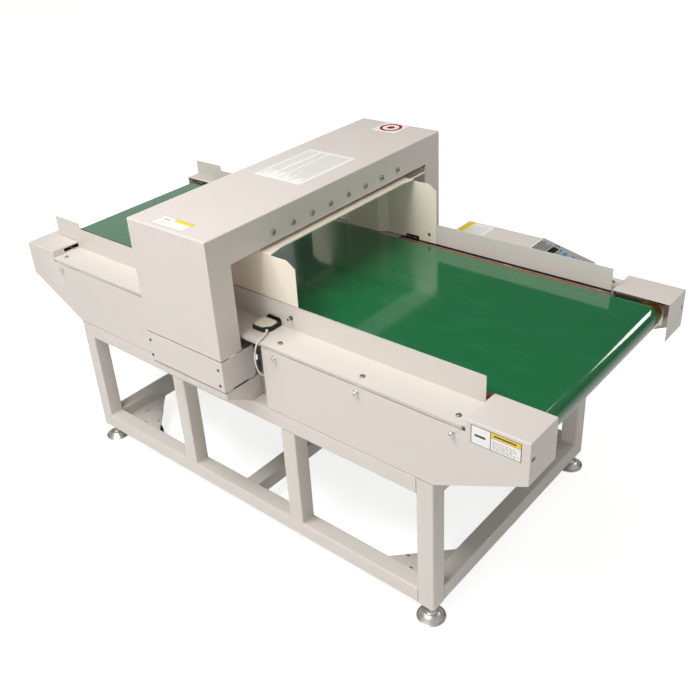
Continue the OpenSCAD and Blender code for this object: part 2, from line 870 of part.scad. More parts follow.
module motor_pulley() {
    color(zinc_c) placed() {
        pulley(-motor_x, motor_z, motor_pulley_r, 0);
        rod_y(-motor_x, side_y(near, pulley_in), side_y(near, motor_face_in - output_in), motor_z, output_r);
    }
}

module drive_pulley() {
    color(zinc_c) placed() pulley(-roller_x, roller_z, drive_pulley_r, shaft_r + run_gap / 4);
}

// Closed outline round two circles: an arc on each, joined by their outer tangents
arc_steps = 24;
function arc(mid_x, r, a0, a1) =
    [for (i = [0:arc_steps]) let (a = a0 + (a1 - a0) * i / arc_steps) [mid_x + r * cos(a), r * sin(a)]];
module loop_outline(d, r0, r1) {
    a = acos((r0 - r1) / d);
    polygon(concat(arc(0, r0, a, 360 - a), arc(d, r1, -a, a)));
}

module drive_belt() {
    dx = roller_x - motor_x;
    dz = motor_z - roller_z;
    d = sqrt(dx * dx + dz * dz);
    r0 = drive_pulley_r - drive_belt_t + rest_gap;
    r1 = motor_pulley_r - drive_belt_t + rest_gap;
    y0 = side_y(near, pulley_out) + pulley_flange_t + rest_gap;
    color(black_c) placed() translate([-roller_x, 0, roller_z])
        along_y(y0, y0 + drive_belt_w) rotate(atan2(dz, dx)) difference() {
            loop_outline(d, r0 + drive_belt_t, r1 + drive_belt_t);
            loop_outline(d, r0, r1);
        }
}

// Side covers with their end caps
lip_gap = 2.5;
riser_slot_l = 60;
riser_slot_h = 12;
riser_slot_in = 16;
riser_slot_drop = 5.5;
cover_return = 12;
end_slot_l = 18;
end_slot_w = 9;
end_hole_r = 6;

module side_cover(end, side) {
    y_out = side * frame_w / 2;
    y_in = side_y(side, cap_in);
    x0 = end * cover_start(end);
    xc = end * cap_x;
    xe = end * cover_end(end);
    top = deck_z - lip - lip_gap;
    hole_y = takeup_y(side);
    color(paint_c) placed() difference() {
        union() {
            along_y(y_out - side * sheet, y_out) polygon([
                [x0, frame_h + cover_lift],
                [end * frame_len / 2, frame_h + cover_lift],
                [xe, cover_end_z],
                [xe, cap_z],
                [xc, cap_z],
                [xc, top],
                [x0, top]
            ]);
            block([xc, y_in, cap_z - sheet], [xe, y_out, cap_z]);
            block([xe - end * sheet, y_in, cover_end_z], [xe, y_out, cap_z]);
            block([xc, y_in, top], [xc + end * sheet, y_out, cap_z]);
            block([x0, y_out - side * cover_return, frame_h + cover_lift], [x0 + end * sheet, y_out, top]);
        }
        block([xc - end * cut, y_in + side * riser_slot_in, cap_z - riser_slot_drop - riser_slot_h],
            [xc + end * (sheet + cut), y_in + side * (riser_slot_in + riser_slot_l),
                cap_z - riser_slot_drop]);
        if (side == near) {
            for (s = [-1, 1])
                rod_x(xe - end * (sheet + cut), xe + end * cut,
                    hole_y + s * (end_slot_l - end_slot_w) / 2, roller_z, end_slot_w / 2);
            block([xe - end * (sheet + cut), hole_y - (end_slot_l - end_slot_w) / 2,
                roller_z - end_slot_w / 2],
                [xe + end * cut, hole_y + (end_slot_l - end_slot_w) / 2, roller_z + end_slot_w / 2]);
        }
        if (side == far) rod_x(xe - end * (sheet + cut), xe + end * cut, hole_y, roller_z, end_hole_r);
        for (i = [first_screw(end, side):screw_count(end) - 1])
            rod_y(cover_screw_x(end, i), y_out - side * (sheet + cut), y_out + side * cut,
                cover_screw_z, cap_shank_r + hole_gap);
        block([xc - end * cut, y_in - side * cut, top - cut],
            [xc + end * (sheet + cut), side_y(side, web_in + web_t + rest_gap), deck_z + rest_gap]);
    }
}

// Guides, each folded from one sheet with the deck and its lip
window_half = 26;
window_h = 12;
eye_window_h = 21;
flap_gap = 2;
end_gap = 0.5;
lip_end_gap = 8;
lip_lean = 2.5;

module guide_plate(side) {
    y_in = side_y(side, guide_in);
    y_up = side_y(side, guide_in + sheet);
    y_out = side * frame_w / 2;
    color(paint_c) placed() difference() {
        union() {
            along_y(y_in, y_up) polygon([
                [-cap_x + end_gap, deck_z - sheet],
                [guide_right, deck_z - sheet],
                [guide_right, guide_z],
                [-flap_x, guide_z],
                [-flap_x, flap_z],
                [-guide_left, flap_z],
                [-guide_left, cap_z + flap_gap],
                [-cap_x + end_gap, cap_z + flap_gap]
            ]);
            block([-cap_x + end_gap, y_in, deck_z - sheet], [cap_x - end_gap, y_out, deck_z]);
            along_x(-cap_x + lip_end_gap, cap_x - lip_end_gap) polygon([
                [y_out - side * sheet, deck_z],
                [y_out + side * lip_lean, deck_z],
                [y_out + side * lip_lean, deck_z - sheet],
                [y_out, deck_z - lip],
                [y_out - side * sheet, deck_z - lip],
                [y_out - side * sheet, deck_z - sheet]
            ]);
        }
        block([eye_x - window_half, y_in - side * cut, deck_z],
            [eye_x + window_half, y_up + side * cut, deck_z + eye_window_h]);
        for (end = ends, i = [0:screw_count(end) - 1])
            translate([cover_screw_x(end, i), side * (frame_w / 2 - deck_screw_in), deck_z - sheet - cut])
                cylinder(h = sheet + 2 * cut, r = deck_shank_r + hole_gap);
        for (x = liner_screw_x)
            rod_y(x, y_in - side * cut, y_up + side * cut, liner_screw_z, liner_shank_r + hole_gap);
    }
}

// Detecting head
module arch(shrink) {
    half = head_w / 2 - shrink;
    in_half = head_w / 2 - head_leg + shrink;
    foot_z = shrink > 0 ? joint_z - cut : joint_z;
    polygon([
        [-half, foot_z],
        [-half, head_z - shrink],
        [half, head_z - shrink],
        [half, foot_z],
        [in_half, foot_z],
        [in_half, beam_z + shrink],
        [-in_half, beam_z + shrink],
        [-in_half, foot_z]
    ]);
}

beam_screw_count = 8;
function beam_screw_y(i) = bed_y + (i - (beam_screw_count - 1) / 2) * beam_pitch;

module head_shell() {
    color(paint_c) placed() difference() {
        along_x(head_x0, head_x1) arch(0);
        along_x(head_x0 + sheet, head_x1 - sheet) arch(sheet);
        for (i = [0:beam_screw_count - 1])
            rod_x(head_x1 - sheet - cut, head_x1 + cut, beam_screw_y(i), beam_screw_z,
                beam_shank_r + hole_gap);
    }
}

cover_joint = 3;
base_gap = 5;
lower_z = base_z + base_gap;
lower_flange = 10;
pad_in = 3;
pad_l = 6;
pad_w = 24;
lower_screw_in = 8;
lower_screw_rise = 19;
function lower_screw_x(end) = end == left ? head_x0 + lower_screw_in : head_x1 - lower_screw_in * 2;
lower_screw_z = [lower_z + lower_screw_rise, joint_z - cover_joint - lower_screw_rise - lower_screw_in];

module lower_covers() {
    color(paint_c) placed() for (side = sides) difference() {
        block([head_x0, side * lower_in, lower_z], [head_x1, side * head_w / 2, joint_z - cover_joint]);
        block([head_x0 + sheet, side * (lower_in - cut), lower_z + sheet],
            [head_x1 - sheet, side * (head_w / 2 - sheet), joint_z + cut]);
        block([head_x0 + lower_flange, side * (lower_in - cut), lower_z - cut],
            [head_x1 - lower_flange, side * (head_w / 2 - lower_flange), lower_z + sheet + cut]);
        for (end = ends, z = lower_screw_z)
            rod_y(lower_screw_x(end), side * (head_w / 2 - sheet - cut), side * (head_w / 2 + cut), z,
                small_shank_r + hole_gap / 2);
    }
}

base_wall = 4;
base_inset = 0.5;

module base_outline(side, shrink) {
    polygon([
        [side * (base_in - (shrink > 0 ? cut : 0)), frame_h + shrink],
        [side * frame_w / 2, frame_h + shrink],
        [side * (base_w / 2 - shrink), base_z - base_lip + shrink / 2],
        [side * (base_w / 2 - shrink), base_z - shrink],
        [side * (base_in - (shrink > 0 ? cut : 0)), base_z - shrink]
    ]);
}

module base_brackets() {
    color(paint_c) placed() for (side = sides) {
        difference() {
            along_x(head_x0 + base_inset, head_x1 - base_inset) base_outline(side, 0);
            along_x(head_x0 + base_inset + base_wall, head_x1 - base_inset - base_wall)
                base_outline(side, base_wall);
        }
        // Pads that carry the lower covers
        for (x = [head_x0 + pad_in, head_x1 - pad_in - pad_l],
            y = [lower_in + pad_in, head_w / 2 - lower_flange - pad_w])
            block([x, side * y, base_z], [x + pad_l, side * (y + pad_w), lower_z - rest_gap]);
    }
}

beam_tube = 50;
beam_plate_t = 6;
beam_off = 100;

module base_beams() {
    y = base_in - beam_plate_t;
    z = frame_h + base_wall + beam_tube / 2 + rest_gap;
    color(paint_c) placed() {
        for (s = [-1, 1]) translate([head_mid + s * beam_off, 0, z]) along_y(-y, y)
            tube_section(beam_tube, tube_wall, tube_r);
        for (side = sides)
            block([head_x0 + base_inset, side * y, frame_h + base_wall],
                [head_x1 - base_inset, side * base_in, base_z - base_wall]);
    }
}

post_len = 160;
post_dep = 54;
post_gap = 12;
post_in = head_w / 2 - head_leg + post_gap;
post_wall = 4;
cross_t = 34;
cross_z = head_z - sheet - rest_gap - cross_t;

module head_posts() {
    color(zinc_c) placed() {
        for (side = sides) difference() {
            block([head_mid - post_len / 2, side * post_in, base_z],
                [head_mid + post_len / 2, side * (post_in + post_dep), cross_z]);
            block([head_mid - post_len / 2 + post_wall, side * (post_in + post_wall), base_z - cut],
                [head_mid + post_len / 2 - post_wall, side * (post_in + post_dep - post_wall),
                    cross_z + cut]);
        }
        difference() {
            block([head_mid - post_len / 2, -post_in - post_dep, cross_z],
                [head_mid + post_len / 2, post_in + post_dep, cross_z + cross_t]);
            block([head_mid - post_len / 2 + post_wall, -post_in - post_dep - cut, cross_z + post_wall],
                [head_mid + post_len / 2 - post_wall, post_in + post_dep + cut, cross_z + cross_t + cut]);
        }
    }
}

// Tunnel liner: a folded sheet over the belt, with raised panels on its side walls
liner_out = guide_in - rest_gap;
liner_bend = 5;
liner_chamfer_l = 30;
liner_chamfer_h = 19;
liner_flare = 10;
liner_flare_w = 50;
liner_hem = 4;
liner_hem_in = 29;
panel_in_x = 51;
panel_slope = 28;
panel_back_x = 70;
liner_screw_in = 26;
liner_screw_rise = 27;
liner_screw_r = 4.5;
liner_shank_r = 2.5;
liner_stud = 18;
liner_nut_t = 4;
liner_screw_x = [head_mid - liner_side + liner_screw_in, head_mid + liner_side - liner_screw_in];
liner_screw_z = liner_low + liner_screw_rise;

module liner_profile(shrink) {
    half = liner_out - shrink;
    r = liner_bend - shrink;
    top = liner_z - shrink;
    low = shrink > 0 ? liner_low - cut : liner_low;
    polygon([
        [-half, low],
        [-half, top - r],
        [-half + r, top],
        [half - r, top],
        [half, top - r],
        [half, low]
    ]);
    for (s = [-1, 1]) translate([s * (half - r), top - r]) circle(r = r, $fn = 32);
}

module tunnel_liner() {
    x0 = head_mid - liner_side;
    x1 = head_mid + liner_side;
    chamfer_z = liner_z - liner_bend;
    color(cream_c) placed() translate([0, bed_y, 0]) {
        difference() {
            along_x(x0, x1) difference() {
                liner_profile(0);
                liner_profile(sheet);
            }
            // Top plate cut back at both ends, less so at its corners
            for (s = [-1, 1]) translate([0, 0, chamfer_z - cut / 10]) linear_extrude(liner_bend + cut)
                polygon([
                    [head_mid + s * (liner_side + cut), -liner_out - cut],
                    [head_mid + s * (liner_top + liner_flare), -liner_out - cut],
                    [head_mid + s * (liner_top + liner_flare), -liner_out + liner_bend],
                    [head_mid + s * liner_top, -liner_out + liner_bend + liner_flare_w],
                    [head_mid + s * liner_top, liner_out - liner_bend - liner_flare_w],
                    [head_mid + s * (liner_top + liner_flare), liner_out - liner_bend],
                    [head_mid + s * (liner_top + liner_flare), liner_out + cut],
                    [head_mid + s * (liner_side + cut), liner_out + cut]
                ]);
            // Chamfered upper corners of the side plates
            for (s = [-1, 1]) along_y(-liner_out - cut, liner_out + cut) polygon([
                [head_mid + s * (liner_side - liner_chamfer_l), chamfer_z + cut],
                [head_mid + s * (liner_side + cut), chamfer_z + cut],
                [head_mid + s * (liner_side + cut), chamfer_z - liner_chamfer_h]
            ]);
            block([eye_x - window_half, -liner_out - cut, liner_low - cut],
                [eye_x + window_half, liner_out + cut, liner_low + window_h]);
            for (x = liner_screw_x)
                rod_y(x, -liner_out - cut, liner_out + cut, liner_screw_z, liner_shank_r + hole_gap);
        }
        // Hems of the top plate, which reach past the far side plate towards the head's leg
        for (s = [-1, 1])
            block([head_mid + s * (liner_top - liner_hem), liner_hem - liner_out + liner_bend,
                liner_z - liner_hem],
                [head_mid + s * liner_top, head_w / 2 - head_leg - liner_hem_in - bed_y, liner_z]);
        for (s = [-1, 1]) translate([0, 0, liner_low]) linear_extrude(liner_z - liner_bend - liner_low)
            polygon([
                [head_mid - panel_back_x - panel_slope, s * (liner_out - sheet)],
                [head_mid - panel_back_x, s * (liner_out - sheet - panel_depth)],
                [head_mid + panel_in_x, s * (liner_out - sheet - panel_depth)],
                [head_mid + panel_in_x + panel_slope, s * (liner_out - sheet)]
            ]);
    }
}

upper_unit_gap = 2;

module upper_detector() {
    color(zinc_c) placed()
        block([head_mid - unit_len / 2, side_y(near, upper_unit_half), beam_z + sheet + upper_unit_gap],
            [head_mid + unit_len / 2, side_y(far, upper_unit_half), cross_z]);
}

unit_post_len = 40;
unit_post_dep = 20;

module lower_detector() {
    z1 = belt_in - rest_gap;
    z0 = z1 - lower_unit_h;
    zb = frame_h + base_wall + beam_tube + rest_gap;
    color(zinc_c) placed() {
        block([head_mid - unit_len / 2, side_y(near, lower_unit_half), z0],
            [head_mid + unit_len / 2, side_y(far, lower_unit_half), z1]);
        for (s = [-1, 1], side = sides)
            block([head_mid + s * beam_off - unit_post_len / 2,
                side_y(side, lower_unit_half - unit_post_dep), zb],
                [head_mid + s * beam_off + unit_post_len / 2, side_y(side, lower_unit_half), z0]);
    }
}

// Photoelectric sensor and its lead
eye_chamfer = 17;
eye_cap_t = 3;
eye_cap_in = 5;
lens_r = 2.5;
lens_len = 1;
lens_rise_share = 0.8;
nose_half = 24;
nose_dep = 4;
nose_lift = 1;
nose_h = 18;

module eye_outline(side, shrink) {
    y0 = side_y(side, guide_in + sheet + rest_gap);
    y1 = y0 + side * eye_dep;
    polygon([
        [eye_x - eye_len / 2 + shrink, y0 + side * shrink],
        [eye_x + eye_len / 2 - shrink, y0 + side * shrink],
        [eye_x + eye_len / 2 - shrink, y1 - side * eye_chamfer],
        [eye_x + eye_len / 2 - eye_chamfer, y1 - side * shrink],
        [eye_x - eye_len / 2 + shrink, y1 - side * shrink]
    ]);
}

module photo_eye(side) {
    y0 = side_y(side, guide_in + sheet + rest_gap);
    translate([0, 0, deck_z]) linear_extrude(eye_h - eye_cap_t) eye_outline(side, 0);
    translate([0, 0, deck_z + eye_h - eye_cap_t]) linear_extrude(eye_cap_t) eye_outline(side, eye_cap_in);
    block([eye_x - nose_half, y0 - side * nose_dep, deck_z + nose_lift],
        [eye_x + nose_half, y0, deck_z + nose_lift + nose_h]);
    rod_y(eye_x, y0 - side * (nose_dep + lens_len), y0, deck_z + eye_h * lens_rise_share, lens_r);
}

module photo_emitter() {
    color(black_c) placed() photo_eye(near);
}

module photo_receiver() {
    color(black_c) placed() photo_eye(far);
}

lead_hole_out = 94;
lead_hole_drop = 80;
lead_hole_x = eye_x + lead_hole_out;
lead_hole_z = deck_z - lead_hole_drop;
lead_sides = 8;
// Route of the sensor lead from the sensor's corner to the hole in the bed side, measured from the
// sensor's middle, the frame's near face and the deck
lead_route = [
    [21, 46, 7], [26, 40, 7], [32, 26, 6], [36, 10, 6.5], [38, -6, 1.5], [35, -13, -11],
    [31, -14, -28], [28, -14, -48], [27, -12, -68], [28, -9, -84], [30, -5, -96], [31, 2, -105],
    [35, 12, -111], [43, 24, -113], [53, 36, -111], [65, 48, -105], [77, 58, -95], [87, 66, -86],
    [93, 74, -81], [94, 81, -80], [94, 90, -80]
];
lead_points = [for (q = lead_route) q + [eye_x, -frame_w / 2, deck_z]];

function unit(v) = v / norm(v);
function heading(p, i) = unit(p[min(i + 1, len(p) - 1)] - p[max(i - 1, 0)]);
function ring(p, i, r) =
    let (t = heading(p, i), a = unit(cross(t, [1, 1, 1])), b = cross(t, a))
    [for (k = [0:lead_sides - 1]) let (turn = 360 * k / lead_sides)
        p[i] + r * (a * cos(turn) + b * sin(turn))];

module swept_tube(p, r) {
    n = len(p);
    polyhedron(
        points = [for (i = [0:n - 1]) each ring(p, i, r)],
        faces = concat(
            [[for (k = [0:lead_sides - 1]) k]],
            [for (i = [0:n - 2], k = [0:lead_sides - 1]) each [
                [i * lead_sides + k, (i + 1) * lead_sides + (k + 1) % lead_sides,
                    i * lead_sides + (k + 1) % lead_sides],
                [i * lead_sides + k, (i + 1) * lead_sides + k,
                    (i + 1) * lead_sides + (k + 1) % lead_sides]
            ]],
            [[for (k = [0:lead_sides - 1]) (n - 1) * lead_sides + lead_sides - 1 - k]]
        )
    );
}

module sensor_lead() {
    color(cream_c) placed() swept_tube(lead_points, lead_d / 2);
}

// Control box with its sloping panel
box_wall = 2;
box_boss_r = 8;
box_boss_in = 30;
panel_edge = 6;
panel_angle = atan2(panel_drop, box_x2 - box_x1);
panel_len = (box_x2 - box_x1) / cos(panel_angle);
panel_hole_in = 14;

module box_outline(shrink) {
    polygon([
        [box_x0 + shrink, box_z - box_h + shrink],
        [box_x2 - shrink, box_z - box_h + shrink],
        [box_x2 - shrink, box_z - panel_drop - shrink],
        [box_x1 - shrink / 4, box_z - shrink],
        [box_x0 + shrink, box_z - shrink]
    ]);
}

// Local frame of the panel: x down the slope, y across, z out of it
module on_panel() {
    translate([box_x1, box_back, box_z]) rotate([0, panel_angle, 0]) children();
}

module control_box() {
    color(paint_c) placed() {
        difference() {
            along_y(box_back, box_front) box_outline(0);
            along_y(box_back + box_wall, box_front - box_wall) box_outline(box_wall);
            on_panel() block([panel_hole_in, panel_hole_in, -box_wall * 3],
                [panel_len - panel_hole_in, box_w - panel_hole_in, cut]);
            block([box_x2 - box_wall - cut, switch_y - switch_l / 2, switch_z - switch_h / 2],
                [box_x2 + cut, switch_y + switch_l / 2, switch_z + switch_h / 2]);
            block([box_x2 - box_wall - cut, inlet_y - inlet_l / 2, switch_z - inlet_h / 2],
                [box_x2 + cut, inlet_y + inlet_l / 2, switch_z + inlet_h / 2]);
        }
        for (x = [box_x0 + box_boss_in, box_x2 - box_boss_in], z = [box_z - box_h + box_boss_in,
            box_z - panel_drop - box_boss_in]) rod_y(x, frame_w / 2, box_back, z, box_boss_r);
    }
}

// Keys: names, places down and across the panel, as shares of its length and the box's width
key_x_share = [0.52, 0.66, 0.52, 0.66];
key_y_share = [0.34, 0.34, 0.66, 0.66];
display_x_share = [0.12, 0.38];
display_y_share = [0.2, 0.8];
display_sink = 1;
key_flange = 1.5;
key_flange_t = 1;
key_gap = 0.3;
key_stem_share = 0.6;
key_stem_w = key_w * key_stem_share;

module key_at(i) {
    translate([panel_len * key_x_share[i], box_w * key_y_share[i], 0]) children();
}

module centred_block(l, w, z0, z1) {
    translate([-l / 2, -w / 2, z0]) cube([l, w, z1 - z0]);
}

module control_panel() {
    color("#dfe3e6") placed() on_panel() difference() {
        block([0, panel_edge / 2, 0], [panel_len - panel_edge / 2, box_w - panel_edge / 2, panel_t]);
        block([panel_len * display_x_share[0], box_w * display_y_share[0], panel_t - display_sink],
            [panel_len * display_x_share[1], box_w * display_y_share[1], panel_t + cut]);
        for (i = [0:3]) key_at(i)
            centred_block(key_stem_w + 2 * key_gap, key_l + 2 * key_gap, -cut, panel_t + cut);
    }
}

module key(i) {
    color(i == 1 ? "#c62f2a" : blue_c) placed() on_panel() key_at(i) {
        centred_block(key_stem_w, key_l, -rest_gap, panel_t + key_h + key_travel);
        centred_block(key_stem_w + 2 * key_flange, key_l, -rest_gap - key_flange_t, -rest_gap);
    }
}

// Power switch and mains inlet in the right end of the box
switch_l = 22;
switch_h = 30;
switch_rise = 45;
switch_z = box_z - box_h + switch_rise;
switch_share = 0.3;
switch_y = box_back + box_w * switch_share;
inlet_l = 27;
inlet_h = 30;
inlet_share = 0.7;
inlet_y = box_back + box_w * inlet_share;
bezel = 3;
bezel_t = 2;
rocker_pin_r = 1.5;
rocker_in = 4;

module power_rocker() {
    half = switch_h / 2 - bezel;
    color(black_c) placed() translate([box_x2 - rocker_in, switch_y, switch_z]) {
        along_y(-switch_l / 2 + bezel, switch_l / 2 - bezel) polygon([
            [-rocker_in, -half / 2],
            [rocker_in + bezel_t, -half],
            [rocker_in, 0],
            [rocker_in + bezel_t / 2, half],
            [-rocker_in, half / 2]
        ]);
        rod_y(0, -switch_l / 2 + rest_gap * 2, switch_l / 2 - rest_gap * 2, 0, rocker_pin_r);
    }
}

module socket_frame(y, l, h, wall, pin) {
    difference() {
        union() {
            block([box_x2, y - l / 2 - bezel, switch_z - h / 2 - bezel],
                [box_x2 + bezel_t, y + l / 2 + bezel, switch_z + h / 2 + bezel]);
            block([box_x2 - inlet_depth, y - l / 2 + rest_gap, switch_z - h / 2 + rest_gap],
                [box_x2 + bezel_t, y + l / 2 - rest_gap, switch_z + h / 2 - rest_gap]);
        }
        block([box_x2 - inlet_depth + wall, y - l / 2 + wall, switch_z - h / 2 + wall],
            [box_x2 + bezel_t + cut, y + l / 2 - wall, switch_z + h / 2 - wall]);
        if (pin) rod_y(box_x2 - rocker_in, y - l / 2, y + l / 2, switch_z, rocker_pin_r + run_gap);
    }
}

inlet_depth = 16;
inlet_wall = 2.5;
prong_l = 12;
prong_w = 2;
prong_h = 6;
prong_pitch = 7;

module mains_inlet() {
    color(black_c) placed() {
        socket_frame(inlet_y, inlet_l, inlet_h, inlet_wall, false);
        socket_frame(switch_y, switch_l, switch_h, bezel - rest_gap * 4, true);
        for (k = [-1, 0, 1]) translate([box_x2 - inlet_depth + inlet_wall, inlet_y + k * prong_pitch,
            switch_z + (k == 0 ? prong_h / 2 : -prong_h / 2)])
            block([0, -prong_w / 2, -prong_h / 2], [prong_l, prong_w / 2, prong_h / 2]);
    }
}

// Fasteners
washer_r = 8;
washer_t = 1.5;
cap_shank_len = 14;
socket_share = 0.5;
deck_shank_r = 3;
deck_shank_len = 10;
deck_head_h = 3;
small_shank_r = 2;
small_shank_len = 7;
beam_shank_r = 4;
beam_shank_gap = 2;
beam_shank_len = unit_end_gap - beam_shank_gap;
beam_head_h = 4;

// Screw along +Z from its seat, head up, with a hexagon socket
module screw(head_r, head_h, shank_r, shank_len, rim) {
    difference() {
        union() {
            cylinder(h = head_h - rim, r = head_r);
            translate([0, 0, head_h - rim]) cylinder(h = rim, r1 = head_r, r2 = head_r - rim);
        }
        translate([0, 0, head_h * (1 - socket_share)])
            cylinder(h = head_h, r = head_r * socket_share, $fn = 6);
    }
    translate([0, 0, -shank_len]) cylinder(h = shank_len, r = shank_r);
}

module facing_y(x, y, z, side) {
    translate([x, y, z]) rotate([-side * 90, 0, 0]) children();
}

module cap_screws() {
    color(zinc_c) placed() for (end = ends, side = sides, i = [first_screw(end, side):screw_count(end) - 1])
        facing_y(cover_screw_x(end, i), side * frame_w / 2, cover_screw_z, side) {
            difference() {
                cylinder(h = washer_t, r = washer_r);
                translate([0, 0, -cut]) cylinder(h = washer_t + 2 * cut, r = cap_shank_r + run_gap);
            }
            translate([0, 0, washer_t])
                screw(cap_head_r, cap_head_h, cap_shank_r, cap_shank_len + washer_t, cap_head_h / 8);
        }
}

module button_screws() {
    liner_face = liner_out - sheet;
    color(zinc_c) placed() {
        for (i = [0:beam_screw_count - 1])
            translate([head_x1, beam_screw_y(i), beam_screw_z]) rotate([0, 90, 0])
                screw(beam_screw_r, beam_head_h, beam_shank_r, beam_shank_len, beam_head_h / 2);
        for (end = ends, side = sides, i = [0:screw_count(end) - 1])
            translate([cover_screw_x(end, i), side * (frame_w / 2 - deck_screw_in), deck_z])
                screw(deck_screw_r, deck_head_h, deck_shank_r, deck_shank_len, deck_head_h / 2);
        for (end = ends, side = sides, z = lower_screw_z)
            facing_y(lower_screw_x(end), side * head_w / 2, z, side)
                screw(small_screw_r, small_head_h, small_shank_r, small_shank_len, small_head_h / 2);
        for (side = sides, x = liner_screw_x) {
            facing_y(x, side_y(side, liner_face), liner_screw_z, -side)
                screw(liner_screw_r, small_head_h, liner_shank_r, liner_stud, small_head_h / 2);
            facing_y(x, side_y(side, guide_in + sheet), liner_screw_z, side) difference() {
                cylinder(h = liner_nut_t, r = liner_screw_r, $fn = 6);
                translate([0, 0, -cut]) cylinder(h = liner_nut_t + 2 * cut, r = liner_shank_r + run_gap);
            }
        }
    }
}

module caster_fork_near_left() caster_fork(left, near);
module caster_fork_near_right() caster_fork(right, near);
module caster_fork_far_left() caster_fork(left, far);
module caster_fork_far_right() caster_fork(right, far);
module caster_wheel_near_left() caster_wheel(left, near);
module caster_wheel_near_right() caster_wheel(right, near);
module caster_wheel_far_left() caster_wheel(left, far);
module caster_wheel_far_right() caster_wheel(right, far);
module foot_near_left() foot(left, near);
module foot_near_right() foot(right, near);
module foot_far_left() foot(left, far);
module foot_far_right() foot(right, far);
module return_roller_left() return_roller(left);
module return_roller_right() return_roller(right);
module side_cover_near_left() side_cover(left, near);
module side_cover_near_right() side_cover(right, near);
module side_cover_far_left() side_cover(left, far);
module side_cover_far_right() side_cover(right, far);
module guide_plate_near() guide_plate(near);
module guide_plate_far() guide_plate(far);
module start_key() key(0);
module stop_key() key(1);
module reset_key() key(2);
module test_key() key(3);

legs();
long_rails();
cross_rails();
corner_plates();
caster_plates();
caster_fork_near_left();
caster_fork_near_right();
caster_fork_far_left();
caster_fork_far_right();
caster_wheel_near_left();
caster_wheel_near_right();
caster_wheel_far_left();
caster_wheel_far_right();
foot_near_left();
foot_near_right();
foot_far_left();
foot_far_right();
foot_nuts();
bed_sides();
bed_cross_bars();
slider_boards();
conveyor_belt();
drive_roller();
tail_roller();
return_roller_left();
return_roller_right();
bearing_blocks();
takeup_screws();
gearmotor();
motor_bracket();
motor_pulley();
drive_pulley();
drive_belt();
side_cover_near_left();
side_cover_near_right();
side_cover_far_left();
side_cover_far_right();
guide_plate_near();
guide_plate_far();
head_shell();
lower_covers();
base_brackets();
base_beams();
head_posts();
tunnel_liner();
upper_detector();
lower_detector();
photo_emitter();
photo_receiver();
sensor_lead();
control_box();
control_panel();
start_key();
stop_key();
reset_key();
test_key();
power_rocker();
mains_inlet();
cap_screws();
button_screws();
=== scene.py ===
import json
import math
import random

import bmesh
import bpy
from bpy.props import FloatProperty, FloatVectorProperty, IntProperty, PointerProperty, StringProperty
from mathutils import Matrix, Vector


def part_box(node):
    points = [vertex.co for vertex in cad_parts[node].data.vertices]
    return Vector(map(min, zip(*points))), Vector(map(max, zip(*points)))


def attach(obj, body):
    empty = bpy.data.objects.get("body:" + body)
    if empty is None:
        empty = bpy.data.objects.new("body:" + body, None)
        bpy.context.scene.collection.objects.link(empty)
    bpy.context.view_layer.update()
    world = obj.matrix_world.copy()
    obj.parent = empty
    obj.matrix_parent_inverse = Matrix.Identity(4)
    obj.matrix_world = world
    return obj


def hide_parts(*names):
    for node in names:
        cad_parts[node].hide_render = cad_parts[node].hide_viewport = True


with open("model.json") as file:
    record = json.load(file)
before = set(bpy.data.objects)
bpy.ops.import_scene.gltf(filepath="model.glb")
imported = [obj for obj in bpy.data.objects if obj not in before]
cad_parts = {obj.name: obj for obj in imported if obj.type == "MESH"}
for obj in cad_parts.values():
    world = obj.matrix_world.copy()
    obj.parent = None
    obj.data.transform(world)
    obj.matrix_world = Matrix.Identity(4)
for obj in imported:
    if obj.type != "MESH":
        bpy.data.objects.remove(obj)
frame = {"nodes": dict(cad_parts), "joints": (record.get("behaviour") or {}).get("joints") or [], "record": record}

bl_info = {
    "name": "Conveyor needle detector",
    "version": (1, 0, 0),
    "blender": (4, 5, 0),
    "location": "View3D > Sidebar > Detector",
    "description": "Builds the painted, plated and moulded pieces of a conveyor needle detector",
    "category": "Add Mesh",
}

MM = 0.001
MAIN = "frame"
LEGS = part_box("legs")
STAND_MIDDLE_X = (LEGS[0].x + LEGS[1].x) / 2
STAND_MIDDLE_Y = (LEGS[0].y + LEGS[1].y) / 2
JOINT_OF = {joint["child"]: joint for joint in frame["joints"]}


def at(x, y, z):
    """A place in millimetres from the stand's middle on the floor, as a place in the frame in metres."""
    return Vector((x * MM + STAND_MIDDLE_X, y * MM + STAND_MIDDLE_Y, z * MM))


def box_of(node):
    """A node's box in millimetres from the stand's middle: its low x, y and z, then its high ones."""
    return [round((value - start) / MM, 2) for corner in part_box(node)
            for value, start in zip(corner, (STAND_MIDDLE_X, STAND_MIDDLE_Y, 0))]


# Settings that a user would change

class CameraSettings(bpy.types.PropertyGroup):
    place: FloatVectorProperty(name="Place", description="Where the camera stands",
                               default=(1.59456, -1.72903, 1.81579), unit="LENGTH")
    turn: FloatProperty(name="Turn", description="Direction that the camera looks in, seen from above",
                        default=0.764580, subtype="ANGLE")
    tilt: FloatProperty(name="Tilt", description="How far the camera looks down", default=0.504200,
                        subtype="ANGLE")
    roll: FloatProperty(name="Roll", description="Turn of the picture about the line of sight",
                        default=-0.083841, subtype="ANGLE")
    lens: FloatProperty(name="Lens", description="Focal length on a 36 mm sensor", default=44.330)
    shift: FloatVectorProperty(name="Shift", description="Shift of the picture, as a share of its width",
                               size=2, default=(0.05709, -0.04951))


